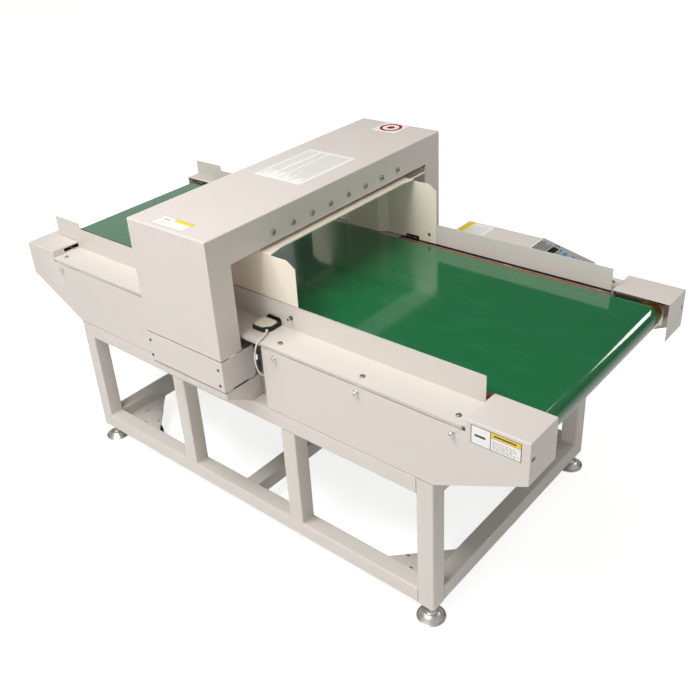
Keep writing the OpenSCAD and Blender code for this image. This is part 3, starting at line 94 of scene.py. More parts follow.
class SheetSettings(bpy.types.PropertyGroup):
    bend: FloatProperty(name="Bend", description="Outside radius of the folded sheet", default=0.003,
                        unit="LENGTH")
    edge: FloatProperty(name="Edge", description="Rounding of the sheet's deburred edge", default=0.0004,
                        unit="LENGTH")
    corner: FloatProperty(name="Corner", description="Radius of the sheet's free corners", default=0.002,
                          unit="LENGTH")
    guide_corner: FloatProperty(name="Guide corner", description="Radius of the guides' free corners",
                                default=0.008, unit="LENGTH")
    steps: IntProperty(name="Steps", description="Facets across each rounded edge", default=3)


class ColourSettings(bpy.types.PropertyGroup):
    coat: StringProperty(name="Powder coat", description="Colour of the painted steel", default="#dcd5ce")
    liner: StringProperty(name="Liner", description="Colour of the tunnel liner", default="#f6ecdc")
    belt: StringProperty(name="Belt", description="Colour of the conveyor belt", default="#196c3f")
    board: StringProperty(name="Board", description="Colour of the slider boards", default="#9a5230")
    key: StringProperty(name="Keys", description="Colour of the blue keys", default="#3f8fc4")


class BeltSettings(bpy.types.PropertyGroup):
    steps: IntProperty(name="Steps", description="Facets round each half of an end roller", default=40)
    edge: FloatProperty(name="Edge", description="Rounding of the belt's cut edge", default=0.0004,
                        unit="LENGTH")


class LeadSettings(bpy.types.PropertyGroup):
    width: FloatProperty(name="Width", description="Diameter of the sensor lead", default=0.0046,
                         unit="LENGTH")


# Small tools for meshes

def new_piece(name, mesh, body, finish, nodes=()):
    """Puts a mesh in the scene, gives it its finishes, and lets it ride on its body."""
    piece = bpy.data.objects.new(name, mesh)
    bpy.context.scene.collection.objects.link(piece)
    if mesh.materials:
        mesh.materials.clear()
    for key in (finish,) if isinstance(finish, str) else finish:
        mesh.materials.append(FINISH[key])
    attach(piece, body)
    if nodes:
        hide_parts(*nodes)
    return piece


def body_of_node(node):
    """The body that a node of the frame belongs to."""
    for body, nodes in frame["record"]["behaviour"]["bodies"].items():
        if node in nodes:
            return body
    raise ValueError("no body holds " + node)


def smooth(mesh, degrees=32):
    """Smooth shading, with edges sharper than the angle kept sharp."""
    mesh.shade_smooth()
    mesh.set_sharp_from_angle(angle=math.radians(degrees))


def thin(face, sheet):
    """True for the narrow face along a sheet's cut edge."""
    edge_length = sum(edge.calc_length() for edge in face.edges)
    return 2 * face.calc_area() / edge_length < sheet * 1.3


def room_at(edge):
    """How far a rounded edge may reach along the edges that it meets."""
    others = [other.calc_length() for vert in edge.verts for other in vert.link_edges if other is not edge]
    return min(others) * 0.45


def rounded(node, finish, bend=0.0, edge=0.0005, corner=0.0, sheet=0.002, steps=2, angle=30, shortest=0.0):
    """A node's shape with its folds, cut edges and corners rounded, standing for that node.

    Edges below the shortest length stay sharp.
    """
    mesh = frame["nodes"][node].data.copy()
    work = bmesh.new()
    work.from_mesh(mesh)
    bmesh.ops.remove_doubles(work, verts=work.verts, dist=1e-5)
    bmesh.ops.dissolve_limit(work, angle_limit=math.radians(0.6), verts=work.verts, edges=work.edges)
    weight = work.edges.layers.float.new("bevel_weight_edge")
    widest = max(bend, edge, corner)
    for line in work.edges:
        if len(line.link_faces) != 2 or line.calc_face_angle(0) < math.radians(angle):
            continue
        if line.calc_length() < shortest:
            continue
        narrow = sum(thin(face, sheet) for face in line.link_faces) if bend or corner else 1
        if narrow == 2:
            width = corner
        elif narrow == 1:
            width = edge
        elif line.is_convex:
            width = bend
        else:
            width = max(bend - sheet, edge)
        line[weight] = min(width, room_at(line)) / widest
    work.to_mesh(mesh)
    work.free()
    smooth(mesh)
    name = node.replace("_near", "_n").replace("_far", "_f") + "_skin"
    piece = new_piece(name, mesh, body_of_node(node), finish, [node])
    rounding = piece.modifiers.new("rounded edges", "BEVEL")
    rounding.width = widest
    rounding.segments = steps
    rounding.limit_method = "WEIGHT"
    rounding.use_clamp_overlap = False
    rounding.harden_normals = True
    rounding.miter_outer = "MITER_ARC"


def folded(node, finish, more_bend=0.0, more_steps=0, corner=None, sheet=0.002):
    """A node of folded sheet metal, rounded as the sheet's settings say."""
    settings = bpy.context.scene.detector_sheet
    if corner is None:
        corner = settings.corner
    rounded(node, finish, bend=settings.bend + more_bend, edge=settings.edge, corner=corner, sheet=sheet,
            steps=settings.steps + more_steps)


def lathe(work, profile, middle, axis, steps=64):
    """Adds a turned shape to a mesh: profile is (radius, place along the axis) in millimetres."""
    axis = Vector(axis).normalized()
    side = axis.orthogonal().normalized()
    other = axis.cross(side)
    rings = []
    for radius, along in profile:
        centre = middle + axis * along * MM
        if radius == 0:
            rings.append([work.verts.new(centre)])
            continue
        rings.append([work.verts.new(centre + (side * math.cos(turn) + other * math.sin(turn)) * radius * MM)
                      for turn in (2 * math.pi * k / steps for k in range(steps))])
    for low, high in zip(rings, rings[1:]):
        for k in range(steps):
            after = (k + 1) % steps
            corners = [low[k % len(low)], low[after % len(low)], high[after % len(high)], high[k % len(high)]]
            corners = [c for i, c in enumerate(corners) if c not in corners[:i]]
            if len(corners) > 2:
                work.faces.new(corners)


def closed_piece(name, work, body, finish, nodes=(), degrees=32):
    """A piece made of the work on a mesh, with its faces turned outwards."""
    bmesh.ops.recalc_face_normals(work, faces=work.faces)
    mesh = bpy.data.meshes.new(name)
    work.to_mesh(mesh)
    work.free()
    smooth(mesh, degrees)
    return new_piece(name, mesh, body, finish, nodes)


def turned(name, profile, middle, axis, body, finish, nodes=(), steps=64):
    """A piece made of one turned shape."""
    work = bmesh.new()
    lathe(work, profile, middle, axis, steps)
    return closed_piece(name, work, body, finish, nodes)


def prism(work, outline, place, along, material=0):
    """Adds a closed prism: place() puts the outline's millimetres in space, along is the prism's depth."""
    low = [work.verts.new(place(u, v, 0)) for u, v in outline]
    high = [work.verts.new(place(u, v, along)) for u, v in outline]
    count = len(outline)
    made = [work.faces.new(low[::-1]), work.faces.new(high)]
    for k in range(count):
        after = (k + 1) % count
        made.append(work.faces.new([low[k], low[after], high[after], high[k]]))
    for face in made:
        face.material_index = material


def rounded_outline(u0, v0, u1, v1, radius, steps=5):
    """Outline of a rectangle with rounded corners, anticlockwise."""
    points = []
    for cu, cv, start in ((u1 - radius, v1 - radius, 0), (u0 + radius, v1 - radius, 90),
                          (u0 + radius, v0 + radius, 180), (u1 - radius, v0 + radius, 270)):
        for k in range(steps + 1):
            turn = math.radians(start + 90 * k / steps)
            points.append((cu + radius * math.cos(turn), cv + radius * math.sin(turn)))
    return points


def soften(piece, width, steps=2, degrees=30):
    """Rounds a piece's edges a little."""
    rounding = piece.modifiers.new("rounded edges", "BEVEL")
    rounding.width = width
    rounding.segments = steps
    rounding.limit_method = "ANGLE"
    rounding.angle_limit = math.radians(degrees)
    rounding.harden_normals = True


# Materials

# Sockets of a colour mix, which have numbers because their names repeat
MIX_SHARE = 0
MIX_A = 6
MIX_B = 7
MIX_RESULT = 2


def colour(text):
    """An sRGB hex colour as linear RGBA."""
    parts = [int(text[k:k + 2], 16) / 255 for k in (1, 3, 5)]
    return tuple(c / 12.92 if c <= 0.04045 else ((c + 0.055) / 1.055) ** 2.4 for c in parts) + (1.0,)


def add(tree, kind, values=None, links=None, **settings):
    """Adds one shader node, sets its values and settings, and links what feeds it."""
    made = tree.nodes.new(kind)
    for key, value in settings.items():
        setattr(made, key, value)
    for key, value in (values or {}).items():
        made.inputs[key].default_value = value
    for key, (source, output) in (links or {}).items():
        tree.links.new(source.outputs[output], made.inputs[key])
    return made


def start_material(name):
    """A new material with its shader, its output and the piece's own coordinates."""
    material = bpy.data.materials.new(name)
    material.use_nodes = True
    tree = material.node_tree
    tree.nodes.clear()
    shader = add(tree, "ShaderNodeBsdfPrincipled")
    add(tree, "ShaderNodeOutputMaterial", links={"Surface": (shader, "BSDF")})
    places = add(tree, "ShaderNodeTexCoord")
    return material, tree, shader, places


def surface(name, base, rough, metal=0.0, ior=1.5, spots=60, depth=0.05, rough_change=0.06, pits=1.2,
            height=0.02, stretch=None, second=None):
    """A finish with faint uneven colour, uneven gloss and a fine relief.

    spots and pits are the sizes of the uneven colour and of the relief in millimetres, and height is
    the relief's height.
    """
    material, tree, shader, places = start_material(name)
    plain = drawn = (places, "Object")
    if stretch:
        drawn = (add(tree, "ShaderNodeMapping", {"Scale": stretch}, {"Vector": plain}), "Vector")
    patches = add(tree, "ShaderNodeTexNoise", {"Scale": 1 / (spots * MM), "Detail": 3.0}, {"Vector": plain})
    dark = [c * (1 - depth) for c in colour(base)[:3]] + [1.0]
    light = colour(second) if second else [min(1, c * (1 + depth)) for c in colour(base)[:3]] + [1.0]
    blend = add(tree, "ShaderNodeMix", {MIX_A: dark, MIX_B: light}, {MIX_SHARE: (patches, "Fac")},
                data_type="RGBA")
    tree.links.new(blend.outputs[MIX_RESULT], shader.inputs["Base Color"])
    # Smears of gloss are a third as wide as the patches of colour
    smear = add(tree, "ShaderNodeTexNoise", {"Scale": 3 / (spots * MM), "Detail": 4.0}, {"Vector": drawn})
    spread = {"From Min": 0.3, "From Max": 0.7, "To Min": rough - rough_change,
              "To Max": rough + rough_change}
    gloss = add(tree, "ShaderNodeMapRange", spread, {"Value": (smear, "Fac")})
    tree.links.new(gloss.outputs["Result"], shader.inputs["Roughness"])
    relief = add(tree, "ShaderNodeTexNoise", {"Scale": 1 / (pits * MM)}, {"Vector": drawn})
    bump = add(tree, "ShaderNodeBump", {"Strength": 1.0, "Distance": height * MM},
               {"Height": (relief, "Fac")})
    tree.links.new(bump.outputs["Normal"], shader.inputs["Normal"])
    shader.inputs["Metallic"].default_value = metal
    if not metal:
        shader.inputs["IOR"].default_value = ior
    return material


FINISH = {}


def powder_coat(colours):
    """Polyester powder coat, baked on: a satin skin with a fine orange peel about a millimetre across."""
    return surface("polyester_powder_coat", colours.coat, 0.37, spots=140, depth=0.018, rough_change=0.05,
                   pits=1.3, height=0.02)


def cream_enamel(colours):
    """Smooth stoved enamel on the liner: glossier than the powder coat, so it shows long soft streaks."""
    return surface("stoved_cream_enamel", colours.liner, 0.34, spots=160, depth=0.02, rough_change=0.04,
                   pits=3.0, height=0.012)


def bright_zinc():
    """Bright zinc plate: a grey metal with cloudy patches and fine draw lines."""
    return surface("bright_zinc_plate", "#dededa", 0.34, metal=1.0, spots=9, depth=0.08, rough_change=0.08,
                   pits=0.5, height=0.006, stretch=(1, 1, 6))


def yellow_zinc():
    """Yellow passivated zinc: gold with greener and pinker clouds where the film is thicker or thinner."""
    return surface("yellow_passivated_zinc", "#d79d35", 0.27, metal=1.0, spots=26, depth=0.14,
                   rough_change=0.07, pits=0.7, height=0.004, second="#ebc062")


# Sizes on the belt's face in millimetres
SCUFF_SIZE = 45
WAVE_SIZE = 90
WAVE_HEIGHT = 0.12
WEAVE_PITCH = 1.1
WEAVE_HEIGHT = 0.006
BACK_PITCH = 1.5


def glossy_pvc(colours):
    """Top face of a PVC conveyor belt: glossy calendered green with faint waves and scuffs from the goods."""
    material, tree, shader, places = start_material("calendered_green_pvc")
    plain = (places, "Object")
    along = (add(tree, "ShaderNodeMapping", {"Scale": (0.35, 1, 1)}, {"Vector": plain}), "Vector")
    scuffs = add(tree, "ShaderNodeTexNoise", {"Scale": 1 / (SCUFF_SIZE * MM), "Detail": 6.0},
                 {"Vector": along})
    scuffed = add(tree, "ShaderNodeMapRange", {"From Min": 0.52, "From Max": 0.78},
                  {"Value": (scuffs, "Fac")})
    light = [min(1, c * 1.12 + 0.004) for c in colour(colours.belt)[:3]] + [1.0]
    blend = add(tree, "ShaderNodeMix", {MIX_A: colour(colours.belt), MIX_B: light},
                {MIX_SHARE: (scuffed, "Result")}, data_type="RGBA")
    tree.links.new(blend.outputs[MIX_RESULT], shader.inputs["Base Color"])
    gloss = add(tree, "ShaderNodeMapRange", {"To Min": 0.10, "To Max": 0.17}, {"Value": (scuffed, "Result")})
    tree.links.new(gloss.outputs["Result"], shader.inputs["Roughness"])
    # The calendered skin is a clear gloss over the pigment, which doubles the mirror image at a low angle
    shader.inputs["Coat Weight"].default_value = 0.7
    shader.inputs["Coat Roughness"].default_value = 0.06
    waves, weave = (add(tree, "ShaderNodeTexNoise", {"Scale": 1 / (size * MM), "Detail": 1.0},
                        {"Vector": plain}) for size in (WAVE_SIZE, WEAVE_PITCH))
    lift = add(tree, "ShaderNodeBump", {"Strength": 1.0, "Distance": WAVE_HEIGHT * MM},
               {"Height": (waves, "Fac")})
    print_through = add(tree, "ShaderNodeBump", {"Strength": 0.6, "Distance": WEAVE_HEIGHT * MM},
                        {"Height": (weave, "Fac"), "Normal": (lift, "Normal")})
    tree.links.new(print_through.outputs["Normal"], shader.inputs["Normal"])
    shader.inputs["IOR"].default_value = 1.53
    return material


def fabric_back():
    """Running side of the belt: pale polyester weave, drawn at 1.5 mm so that it shows."""
    material, tree, shader, places = start_material("polyester_weave_back")
    threads = [add(tree, "ShaderNodeTexWave", {"Scale": 1 / (BACK_PITCH * MM * 6.283), "Distortion": 0.4},
                   {"Vector": (places, "Object")}, bands_direction=way) for way in ("X", "Y")]
    cross = add(tree, "ShaderNodeMath", links={0: (threads[0], "Fac"), 1: (threads[1], "Fac")},
                operation="MULTIPLY")
    tint = add(tree, "ShaderNodeMix", {MIX_A: colour("#9a9d92"), MIX_B: colour("#c9cabd")},
               {MIX_SHARE: (cross, "Value")}, data_type="RGBA")
    tree.links.new(tint.outputs[MIX_RESULT], shader.inputs["Base Color"])
    bump = add(tree, "ShaderNodeBump", {"Strength": 0.7, "Distance": 0.0002}, {"Height": (cross, "Value")})
    tree.links.new(bump.outputs["Normal"], shader.inputs["Normal"])
    shader.inputs["Roughness"].default_value = 0.75
    return material


def phenolic_board(colours):
    """Phenolic-faced plywood: orange-brown resin film with long faint streaks from the veneer below."""
    return surface("phenolic_faced_plywood", colours.board, 0.32, spots=70, depth=0.16, rough_change=0.06,
                   pits=2.0, height=0.02, stretch=(0.08, 1, 1))


def card_vinyl(name, base):
    """Printed vinyl card with a satin overlay: even colour and soft gloss."""
    return surface(name, base, 0.36, spots=30, depth=0.012, rough_change=0.03, pits=4.0, height=0.01,
                   ior=1.48)


def display_acrylic():
    """Smoked acrylic over the display: nearly black and glossy, with a faint green cast."""
    return surface("smoked_acrylic", "#1a211f", 0.10, spots=20, depth=0.08, rough_change=0.02, pits=12,
                   height=0.01, ior=1.49)


def make_finishes(colours):
    """Every finish of the object, by its short name."""
    FINISH.update(
        coat=powder_coat(colours), liner=cream_enamel(colours), zinc=bright_zinc(),
        gold=yellow_zinc(), belt=glossy_pvc(colours), back=fabric_back(),
        board=phenolic_board(colours), display=display_acrylic(),
        # Moulded nylon: matt black with a fine spark-eroded grain
        nylon=surface("black_moulded_nylon", "#1c1c1d", 0.52, spots=12, depth=0.15, pits=0.8, height=0.03,
                      ior=1.53),
        # Acetal bearing housings: slightly waxy black
        acetal=surface("black_acetal", "#202122", 0.40, spots=15, depth=0.12, pits=2.0, height=0.01,
                       ior=1.48),
        # Motor enamel: smooth blue-grey over a cast skin that stays faintly lumpy
        motor=surface("blue_grey_motor_enamel", "#5d6a73", 0.36, spots=18, depth=0.07, pits=2.6, height=0.06),
        # Toothed belt rubber: dull black with a dusty bloom; it also colours the strips of painted shade at the
        # guides' feet
        rubber=surface("black_neoprene", "#1b1b1b", 0.68, spots=8, depth=0.25, pits=0.9, height=0.04,
                       ior=1.52),
        # Blackened steel: oil-black oxide over turned metal; it also colours the rings of painted shade under the
        # button screws
        black_steel=surface("blackened_steel", "#171615", 0.42, spots=8, depth=0.15, pits=0.6, height=0.006,
                            ior=1.6),
        # Mill-finish aluminium: long rolling lines along the sheet
        aluminium=surface("mill_aluminium", "#c9cbcc", 0.36, metal=1.0, spots=30, depth=0.05,
                          rough_change=0.06, pits=0.8, height=0.006, stretch=(0.05, 1, 1)),
        # Moulded ABS of the sensor and sockets: black, fine grain
        abs_black=surface("black_moulded_abs", "#161617", 0.45, spots=10, depth=0.12, pits=0.7, height=0.02,
                          ior=1.52),
        # Moulded ABS cap of the sensor: warm cream, fine grain
        abs_cream=surface("cream_moulded_abs", "#d8d0bb", 0.42, spots=12, depth=0.04, pits=0.7, height=0.02,
                          ior=1.52),
        # PVC sheath of the lead: soft cream, faintly ribbed by the cores inside
        pvc_lead=surface("cream_pvc_sheath", "#e4dfd0", 0.48, spots=10, depth=0.04, pits=3.0, height=0.08,
                         ior=1.53),
        # Polyester panel film: pale grey, satin
        film=surface("grey_polyester_film", "#a4a4a2", 0.30, spots=40, depth=0.02, pits=5.0, height=0.01,
                     ior=1.64),
        film_dark=surface("dark_grey_polyester_film", "#4d4a47", 0.30, spots=40, depth=0.03, pits=5.0,
                          height=0.01, ior=1.64),
        film_white=surface("white_polyester_film", "#f2f1ec", 0.30, spots=40, depth=0.01, pits=5.0,
                           height=0.01, ior=1.64),
        # Keys: moulded silicone-coated ABS, satin
        key_blue=surface("blue_moulded_abs", colours.key, 0.38, spots=6, depth=0.05, pits=1.5, height=0.01,
                         ior=1.52),
        key_red=surface("red_moulded_abs", "#b3261f", 0.38, spots=6, depth=0.05, pits=1.5, height=0.01,
                        ior=1.52),
        # Printed vinyl of the bare cards
        card_white=card_vinyl("white_card_vinyl", "#f4f2ef"),
        card_yellow=card_vinyl("yellow_card_vinyl", "#f2d21d"),
        card_grey=card_vinyl("grey_card_vinyl", "#a9a7a1"),
        card_red=card_vinyl("red_card_vinyl", "#a51d20"),
        card_dark=card_vinyl("dark_card_vinyl", "#3c3b39"),
        # Red acrylic lens over the sensor's light source
        lens=surface("red_acrylic_lens", "#7c1511", 0.12, spots=5, depth=0.10, pits=6.0, height=0.01,
                     ior=1.49),
    )


class DETECTOR_OT_finishes(bpy.types.Operator):
    """Makes every finish of the object"""
    bl_idname = "detector.finishes"
    bl_label = "Finishes"

    def execute(self, context):
        make_finishes(context.scene.detector_colours)
        return {"FINISHED"}


# Stand

# Places and sizes of the stand's tubes and plates in millimetres, from the stand's middle
HALF_TUBE = 25
_, _, RAIL_LOW, LEG_FACE_X, LEG_FACE_Y, STAND_TOP = box_of("legs")
LEG_X = LEG_FACE_X - HALF_TUBE
LEG_Y = LEG_FACE_Y - HALF_TUBE
INNER_LEG_X = 227
RAIL_HIGH = RAIL_LOW + 2 * HALF_TUBE
TOP_RAIL_LOW = STAND_TOP - 2 * HALF_TUBE
PLATE_HIGH = box_of("corner_plates")[-1]
# Seams: start and end along a plate and along a rail's end, and half the length across a tube
PLATE_SEAM = (5, 170)
RAIL_END_SEAM = (4, 46)
TUBE_SEAM = 21
# Size and steps of the bead along a plate
PLATE_BEAD = 3.5
PLATE_BEAD_STEPS = 60
# Middles of the corner legs, with a foot below each
FOOT_PLACES = {side + "_" + end: (x, y) for side, y in (("near", -LEG_Y), ("far", LEG_Y))
               for end, x in (("left", -LEG_X), ("right", LEG_X))}


def weld_fillet(work, start, end, up, out, rng, size=4.5, steps=24):
    """Adds one weld bead in the inside corner between two tubes, from start to end in millimetres."""
    start, end = Vector(start), Vector(end)
    up, out = Vector(up), Vector(out)
    rows = []
    for k in range(steps + 1):
        share = k / steps
        spot = start.lerp(end, share)
        fade = min(1.0, 6 * share, 6 * (1 - share))
        # The ripples of the weld pool, each a little different
        ripple = 1 + 0.10 * math.sin(share * 75) + rng.uniform(-0.05, 0.05)
        swell = size * (0.25 + 0.75 * fade) * ripple
        ring = [spot - up * 0.3 - out * 0.3]
        for j in range(5):
            turn = math.pi / 2 * j / 4
            reach = swell * (1 - 0.28 * math.sin(2 * turn))
            ring.append(spot + up * reach * math.sin(turn) + out * reach * math.cos(turn))
        rows.append([work.verts.new(at(*point)) for point in ring])
    for a, b in zip(rows, rows[1:]):
        for j in range(len(a)):
            after = (j + 1) % len(a)
            work.faces.new([a[j], b[j], b[after], a[after]])
    work.faces.new(rows[0][::-1])
    work.faces.new(rows[-1])


def add_welds(work, rng):
    """Adds the weld beads of the stand: legs to rails, and plates to the bottom rails."""
    inner_x = LEG_X - HALF_TUBE
    inner_y = LEG_Y - HALF_TUBE
    levels = ((RAIL_HIGH, 1), (TOP_RAIL_LOW, -1))
    for side in (-1, 1):
        y0, y1 = side * LEG_Y - TUBE_SEAM, side * LEG_Y + TUBE_SEAM
        face = side * inner_y
        for end in (-1, 1):
            corner = end * inner_x
            for z, up in levels:
                weld_fillet(work, (corner, y0, z), (corner, y1, z), (0, 0, up), (-end, 0, 0), rng)
            for edge in (-1, 1):
                x = end * INNER_LEG_X + edge * HALF_TUBE
                for z, up in levels:
                    weld_fillet(work, (x, y0, z), (x, y1, z), (0, 0, up), (edge, 0, 0), rng)
            for z, up in levels:
                x0, x1 = end * LEG_X - TUBE_SEAM, end * LEG_X + TUBE_SEAM
                weld_fillet(work, (x0, face, z), (x1, face, z), (0, 0, up), (0, -side, 0), rng)
                z0, z1 = (z - up * along for along in RAIL_END_SEAM)
                weld_fillet(work, (corner, face, z0), (corner, face, z1), (-end, 0, 0), (0, -side, 0), rng)
        for edge in (-1, 1):
            x = edge * HALF_TUBE
            z0, z1 = RAIL_LOW + RAIL_END_SEAM[0], RAIL_LOW + RAIL_END_SEAM[1]
            weld_fillet(work, (x, face, z0), (x, face, z1), (edge, 0, 0), (0, -side, 0), rng)
        for end in (-1, 1):
            (x0, x1), (y0, y1) = ([reach - along for along in PLATE_SEAM] for reach in (inner_x, inner_y))
            weld_fillet(work, (end * x0, face, PLATE_HIGH), (end * x1, face, PLATE_HIGH), (0, 0, 1),
                        (0, -side, 0), rng, PLATE_BEAD, PLATE_BEAD_STEPS)
            weld_fillet(work, (end * inner_x, side * y0, PLATE_HIGH), (end * inner_x, side * y1, PLATE_HIGH),
                        (0, 0, 1), (-end, 0, 0), rng, PLATE_BEAD, PLATE_BEAD_STEPS)


class DETECTOR_OT_stand(bpy.types.Operator):
    """Adds the welded tube stand with its weld beads and corner plates"""
    bl_idname = "detector.stand"
    bl_label = "Stand"

    def execute(self, context):
        for node in ("legs", "long_rails", "cross_rails"):
            rounded(node, "coat", edge=0.0028, steps=3, angle=40, shortest=0.06)
        rounded("corner_plates", "coat", edge=0.0008)
        work = bmesh.new()
        add_welds(work, random.Random(11))
        closed_piece("weld_beads", work, MAIN, "coat", degrees=60)
        return {"FINISHED"}


# Radii and heights of a foot's threaded stud in millimetres
STUD_CORE_R = 5.45
STUD_CREST_R = 5.98
THREAD_PITCH = 1.75
THREAD_LOW = 24.0
THREAD_HIGH = 97.6


def foot_profile():
    """Half section of a pressed pad with a rolled rim, a hub and a threaded stud, in millimetres."""
    points = [(0, 1.2), (34.5, 1.2), (35.2, 0), (38.6, 0), (39.6, 0.8), (40, 2.0), (39.6, 3.4), (38.6, 4.4),
              (37.2, 4.9), (35.8, 4.6), (34.6, 4.4)]
    # The dome rises from the rim's inner edge to the hub's foot
    (rim_r, rim_z), (hub_r, hub_z), dome_steps = points[-1], (15.0, 17.8), 9
    for k in range(1, dome_steps + 1):
        share = k / dome_steps
        rise = math.sin(share * math.pi / 2) ** 1.15
        points.append((rim_r + (hub_r - rim_r) * share, rim_z + (hub_z - rim_z) * rise))
    points += [(13.6, 18.4), (12.6, 19.2), (12.2, 20.2), (12.0, 22.2), (11.2, 23.0), (6.6, 23.0), (5.5, 23.6)]
    along = THREAD_LOW
    while along < THREAD_HIGH:
        points += [(STUD_CORE_R, along), (STUD_CREST_R, along + 0.75), (STUD_CREST_R, along + 1.0),
                   (STUD_CORE_R, along + THREAD_PITCH)]
        along += THREAD_PITCH
    return points + [(5.0, 98.6), (4.4, 99.0), (0, 99.0)]


class DETECTOR_OT_feet(bpy.types.Operator):
    """Adds the four levelling feet and their lock nuts"""
    bl_idname = "detector.feet"
    bl_label = "Levelling feet"

    def execute(self, context):
        for corner, (x, y) in FOOT_PLACES.items():
            body = "foot_" + corner
            turned("pad_" + corner, foot_profile(), at(x, y, 0), (0, 0, 1), body, "zinc",
                   [body], 72)
        rounded("foot_nuts", "zinc", edge=0.0008)
        return {"FINISHED"}


def wheel_profile():
    """Half section of a moulded caster wheel with recessed sides and a rounded tread, in millimetres."""
    half = [(4.08, 9), (9.2, 9), (9.8, 8.4), (10.4, 6.2), (14.4, 5.9), (15.6, 6.6), (16.2, 8.6), (17.0, 9.0),
            (20.6, 9.0), (22.2, 8.2), (22.9, 6.2), (23.0, 3.0)]
    return half + [(r, -a) for r, a in half[::-1]] + [half[0]]


class DETECTOR_OT_casters(bpy.types.Operator):
    """Adds the four swivel casters with their plates, bolts, forks and wheels"""
    bl_idname = "detector.casters"
    bl_label = "Casters"

    def execute(self, context):
        rounded("caster_plates", "zinc", edge=0.0006)
        for corner in FOOT_PLACES:
            rounded("caster_fork_" + corner, "gold", edge=0.0006)
            wheel = "caster_wheel_" + corner
            axle = JOINT_OF[wheel]
            turned("wheel_" + corner, wheel_profile(), Vector(axle["pos_m"]), axle["axis"], wheel, "nylon",
                   [wheel], 56)
        return {"FINISHED"}


# Conveyor

# Sizes of belt and rollers in millimetres, and their places from the stand's middle
_, BELT_LOW_Y, _, _, BELT_HIGH_Y, BELT_TOP = box_of("conveyor_belt")
BED_MIDDLE_Y = (BELT_LOW_Y + BELT_HIGH_Y) / 2
BELT_HALF = (BELT_HIGH_Y - BELT_LOW_Y) / 2
BELT_T = 2
FABRIC_T = 1.2
REST_GAP = 0.3
DRUM_LOW_X, _, _, DRUM_HIGH_X, DRUM_HIGH_Y, _ = box_of("tail_roller")
ROLLER_X = (DRUM_LOW_X + DRUM_HIGH_X) / 2
ROLLER_R = (DRUM_HIGH_X - DRUM_LOW_X) / 2
DRUM_HALF = BELT_HALF + 20
SHAFT_R = 10
SHAFT_END = DRUM_HIGH_Y - BED_MIDDLE_Y
DRIVE_SHAFT_END = BED_MIDDLE_Y - box_of("drive_roller")[1]
RETURN_LOW_X, _, _, RETURN_HIGH_X, RETURN_HIGH_Y, _ = box_of("return_roller_right")
RETURN_X = (RETURN_LOW_X + RETURN_HIGH_X) / 2
RETURN_R = (RETURN_HIGH_X - RETURN_LOW_X) / 2
RETURN_HALF = BELT_HALF + 17
RETURN_SHAFT_R = 6
RETURN_SHAFT_END = RETURN_HIGH_Y - BED_MIDDLE_Y
BELT_INSIDE_R = ROLLER_R + REST_GAP
BELT_OUTSIDE_R = BELT_INSIDE_R + BELT_T
ROLLER_Z = BELT_TOP - BELT_OUTSIDE_R
RETURN_Z = ROLLER_Z - BELT_OUTSIDE_R - REST_GAP - RETURN_R


def belt_loop(radius, steps):
    """Points of a closed loop round both end rollers, as (x, z) in millimetres."""
    points = []
    for end, start in ((1, 90), (-1, 270)):
        for k in range(steps + 1):
            turn = math.radians(start - 180 * k / steps)
            points.append((end * ROLLER_X + radius * math.cos(turn), ROLLER_Z + radius * math.sin(turn)))
    return points


class DETECTOR_OT_belt(bpy.types.Operator):
    """Adds the green conveyor belt, with its fabric running side"""
    bl_idname = "detector.belt"
    bl_label = "Conveyor belt"

    def execute(self, context):
        settings = context.scene.detector_belt
        edge = settings.edge / MM
        inside, seam, outside = BELT_INSIDE_R, BELT_INSIDE_R + FABRIC_T, BELT_OUTSIDE_R
        half = [(inside, BELT_HALF), (seam, BELT_HALF), (outside - edge, BELT_HALF),
                (outside, BELT_HALF - edge)]
        section = [(radius, -y) for radius, y in half] + half[::-1]
        fabric_rows = (0, len(section) - 2, len(section) - 1)
        loops = [[(x, BED_MIDDLE_Y + y, z) for x, z in belt_loop(radius, settings.steps)]
                 for radius, y in section]
        work = bmesh.new()
        rings = [[work.verts.new(at(*point)) for point in loop] for loop in loops]
        count = len(rings[0])
        for i, ring in enumerate(rings):
            following = rings[(i + 1) % len(rings)]
            for k in range(count):
                after = (k + 1) % count
                face = work.faces.new([ring[k], ring[after], following[after], following[k]])
                face.material_index = int(i in fabric_rows)
        closed_piece("green_belt", work, MAIN, ("belt", "back"), ["conveyor_belt"], 40)
        return {"FINISHED"}


def roller_profile(radius, half, shaft, near, far, wall=5, recess=5):
    """Half section of a roller: shaft ends, recessed end discs and a drum with eased rims, in millimetres."""
    disc = half - recess
    end = [(shaft, disc), (shaft + 4, disc), (shaft + 5, disc - 1.2), (radius - wall, disc - 1.2),
           (radius - wall, half - 0.6), (radius - wall + 0.6, half), (radius - 1.6, half),
           (radius - 0.4, half - 1.2), (radius, half - 4)]
    return ([(0, -near), (shaft - 1, -near), (shaft, -near + 1)] + [(r, -along) for r, along in end] +
            end[::-1] + [(shaft, far - 1), (shaft - 1, far), (0, far)])


